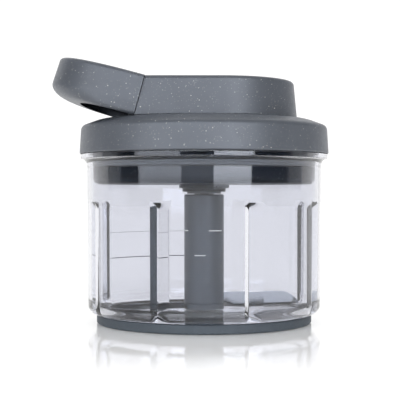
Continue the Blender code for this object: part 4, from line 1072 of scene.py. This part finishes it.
def stage():
    """A pale floor that mirrors round the object and turns matt further out."""
    white, glow = (0.97, 0.97, 0.97, 1), 0.10
    look = Look(
        "studio_floor",
        IOR=2.2,
        Roughness=0.07,
        Base_Color=white,
        Emission_Color=(1, 1, 1, 1),
        Emission_Strength=glow,
    )
    matt = look.node("ShaderNodeBsdfDiffuse")
    matt.inputs["Color"].default_value = white
    light = look.node("ShaderNodeEmission")
    light.inputs["Strength"].default_value = glow
    lit = look.node("ShaderNodeAddShader")
    look.link(matt.outputs[0], lit.inputs[0])
    look.link(light.outputs[0], lit.inputs[1])
    parts = look.node("ShaderNodeSeparateXYZ")
    look.link(look.place(), parts.inputs[0])
    flat = look.node("ShaderNodeCombineXYZ")
    look.link(parts.outputs[0], flat.inputs[0])
    look.link(parts.outputs[1], flat.inputs[1])
    distance = look.node("ShaderNodeVectorMath", operation="LENGTH")
    look.link(flat.outputs[0], distance.inputs[0])
    gloss = look.span(distance.outputs["Value"], 0.105, 0.200, 1.0, 0.0, smooth=True)
    mixed = look.node("ShaderNodeMixShader")
    look.link(gloss, mixed.inputs[0])
    look.link(lit.outputs[0], mixed.inputs[1])
    look.link(look.shader.outputs[0], mixed.inputs[2])
    look.link(mixed.outputs[0], look.tree.nodes["Material Output"].inputs["Surface"])
    shape = bmesh.new()
    corners = ((-6, -6), (6, -6), (6, 6), (-6, 6))
    shape.faces.new([shape.verts.new((x, y, 0)) for x, y in corners])
    floor = finished("floor", shape, look.material, None)
    floor.location.z = -0.0002


def world():
    """A white studio. Mirrored rays meet a dark band at the front with light panels in it."""
    made = bpy.data.worlds.new("studio")
    bpy.context.scene.world = made
    made.cycles.sampling_method = "NONE"
    made.use_nodes = True
    kit = Nodes(made.node_tree)
    kit.tree.nodes.clear()

    def chain(operation, values):
        whole = values[0]
        for value in values[1:]:
            whole = kit.maths(operation, whole, value)
        return whole

    def product(*values):
        return chain("MULTIPLY", values)

    def total(*values):
        return chain("ADD", values)

    def rest(share):
        return kit.maths("SUBTRACT", 1.0, share)

    def step(value, start, end):
        return kit.span(value, start, end, smooth=True)

    def window(value, low, high, soft):
        return product(step(value, low - soft, low + soft), step(value, high + soft, high - soft))

    def blend(low, high, share):
        return total(product(low, rest(share)), product(high, share))

    # Azimuth from the front, positive to the right, and elevation, both in degrees
    parts = kit.node("ShaderNodeSeparateXYZ")
    kit.link(kit.node("ShaderNodeTexCoord").outputs["Generated"], parts.inputs[0])
    x, y, z = parts.outputs
    azimuth = product(kit.maths("ARCTAN2", x, product(y, -1.0)), 180 / math.pi)
    elevation = product(kit.maths("ARCSINE", z), 180 / math.pi)

    # The dark band, wider above eye level, and its light panels
    high = step(elevation, *HIGH_PART)
    front = blend(window(azimuth, *LOW_FRONT), window(azimuth, *HIGH_FRONT), high)
    dark = product(step(elevation, *BAND_FOOT), step(elevation, *BAND_TOP), front)
    climb = kit.span(elevation, *LOW_CLIMB)
    low_panels = [product(window(azimuth, *span), strength) for *span, strength in LOW_PANELS]
    *span, strength = MIDDLE_PANEL
    low_panels.append(product(window(azimuth, *span), step(elevation, *MIDDLE_TOP), strength))
    brightening = total(1 - CLIMB_SHARE, product(climb, CLIMB_SHARE))
    low_glow = total(product(total(*low_panels), brightening), product(rest(climb), FOOT_GLOW))
    high_panels = [product(window(azimuth, *span), strength) for *span, strength in HIGH_PANELS]
    high_glow = product(total(*high_panels), step(elevation, *HIGH_TOP))
    glow = blend(low_glow, high_glow, high)

    # Mirrored rays see them, and so do rays that leave the plastic towards the front.
    # Rays that leave it steeply upwards see less of either sky.
    path = kit.node("ShaderNodeLightPath").outputs
    mirrored = total(
        product(path["Is Glossy Ray"], path["Is Reflection Ray"]),
        product(path["Is Transmission Ray"], step(y, 0.05, -0.05)),
    )
    steep = product(path["Is Transmission Ray"], step(elevation, *STEEP))
    kept = rest(product(steep, STEEP_LOSS))
    seen = total(kit.maths("SUBTRACT", SKY, product(dark, SKY)), product(dark, glow))
    strength = blend(product(SKY, kept), product(seen, kept), mirrored)
    tint = kit.mix(product(mirrored, dark), (1, 1, 1), (0.93, 0.98, 1.07))
    background = kit.node("ShaderNodeBackground")
    kit.link(strength, background.inputs["Strength"])
    kit.link(tint, background.inputs["Color"])
    out = kit.node("ShaderNodeOutputWorld")
    kit.link(background.outputs[0], out.inputs["Surface"])


def camera():
    data = bpy.data.cameras.new("camera")
    data.lens = LENS
    data.sensor_width = SENSOR
    data.clip_start = 0.01
    data.clip_end = 50.0
    made = bpy.data.objects.new("camera", data)
    made.location = EYE
    made.rotation_euler = (math.pi / 2 - EYE_DIP, 0, 0)
    bpy.context.scene.collection.objects.link(made)
    bpy.context.scene.camera = made


stage()
world()
camera()
scene = bpy.context.scene
scene.view_settings.view_transform = "Standard"
scene.view_settings.look = "None"
scene.cycles.use_denoising = True
scene.cycles.max_bounces = 24
scene.cycles.transmission_bounces = 20
scene.cycles.transparent_max_bounces = 16
scene.cycles.caustics_refractive = True
scene.cycles.caustics_reflective = True
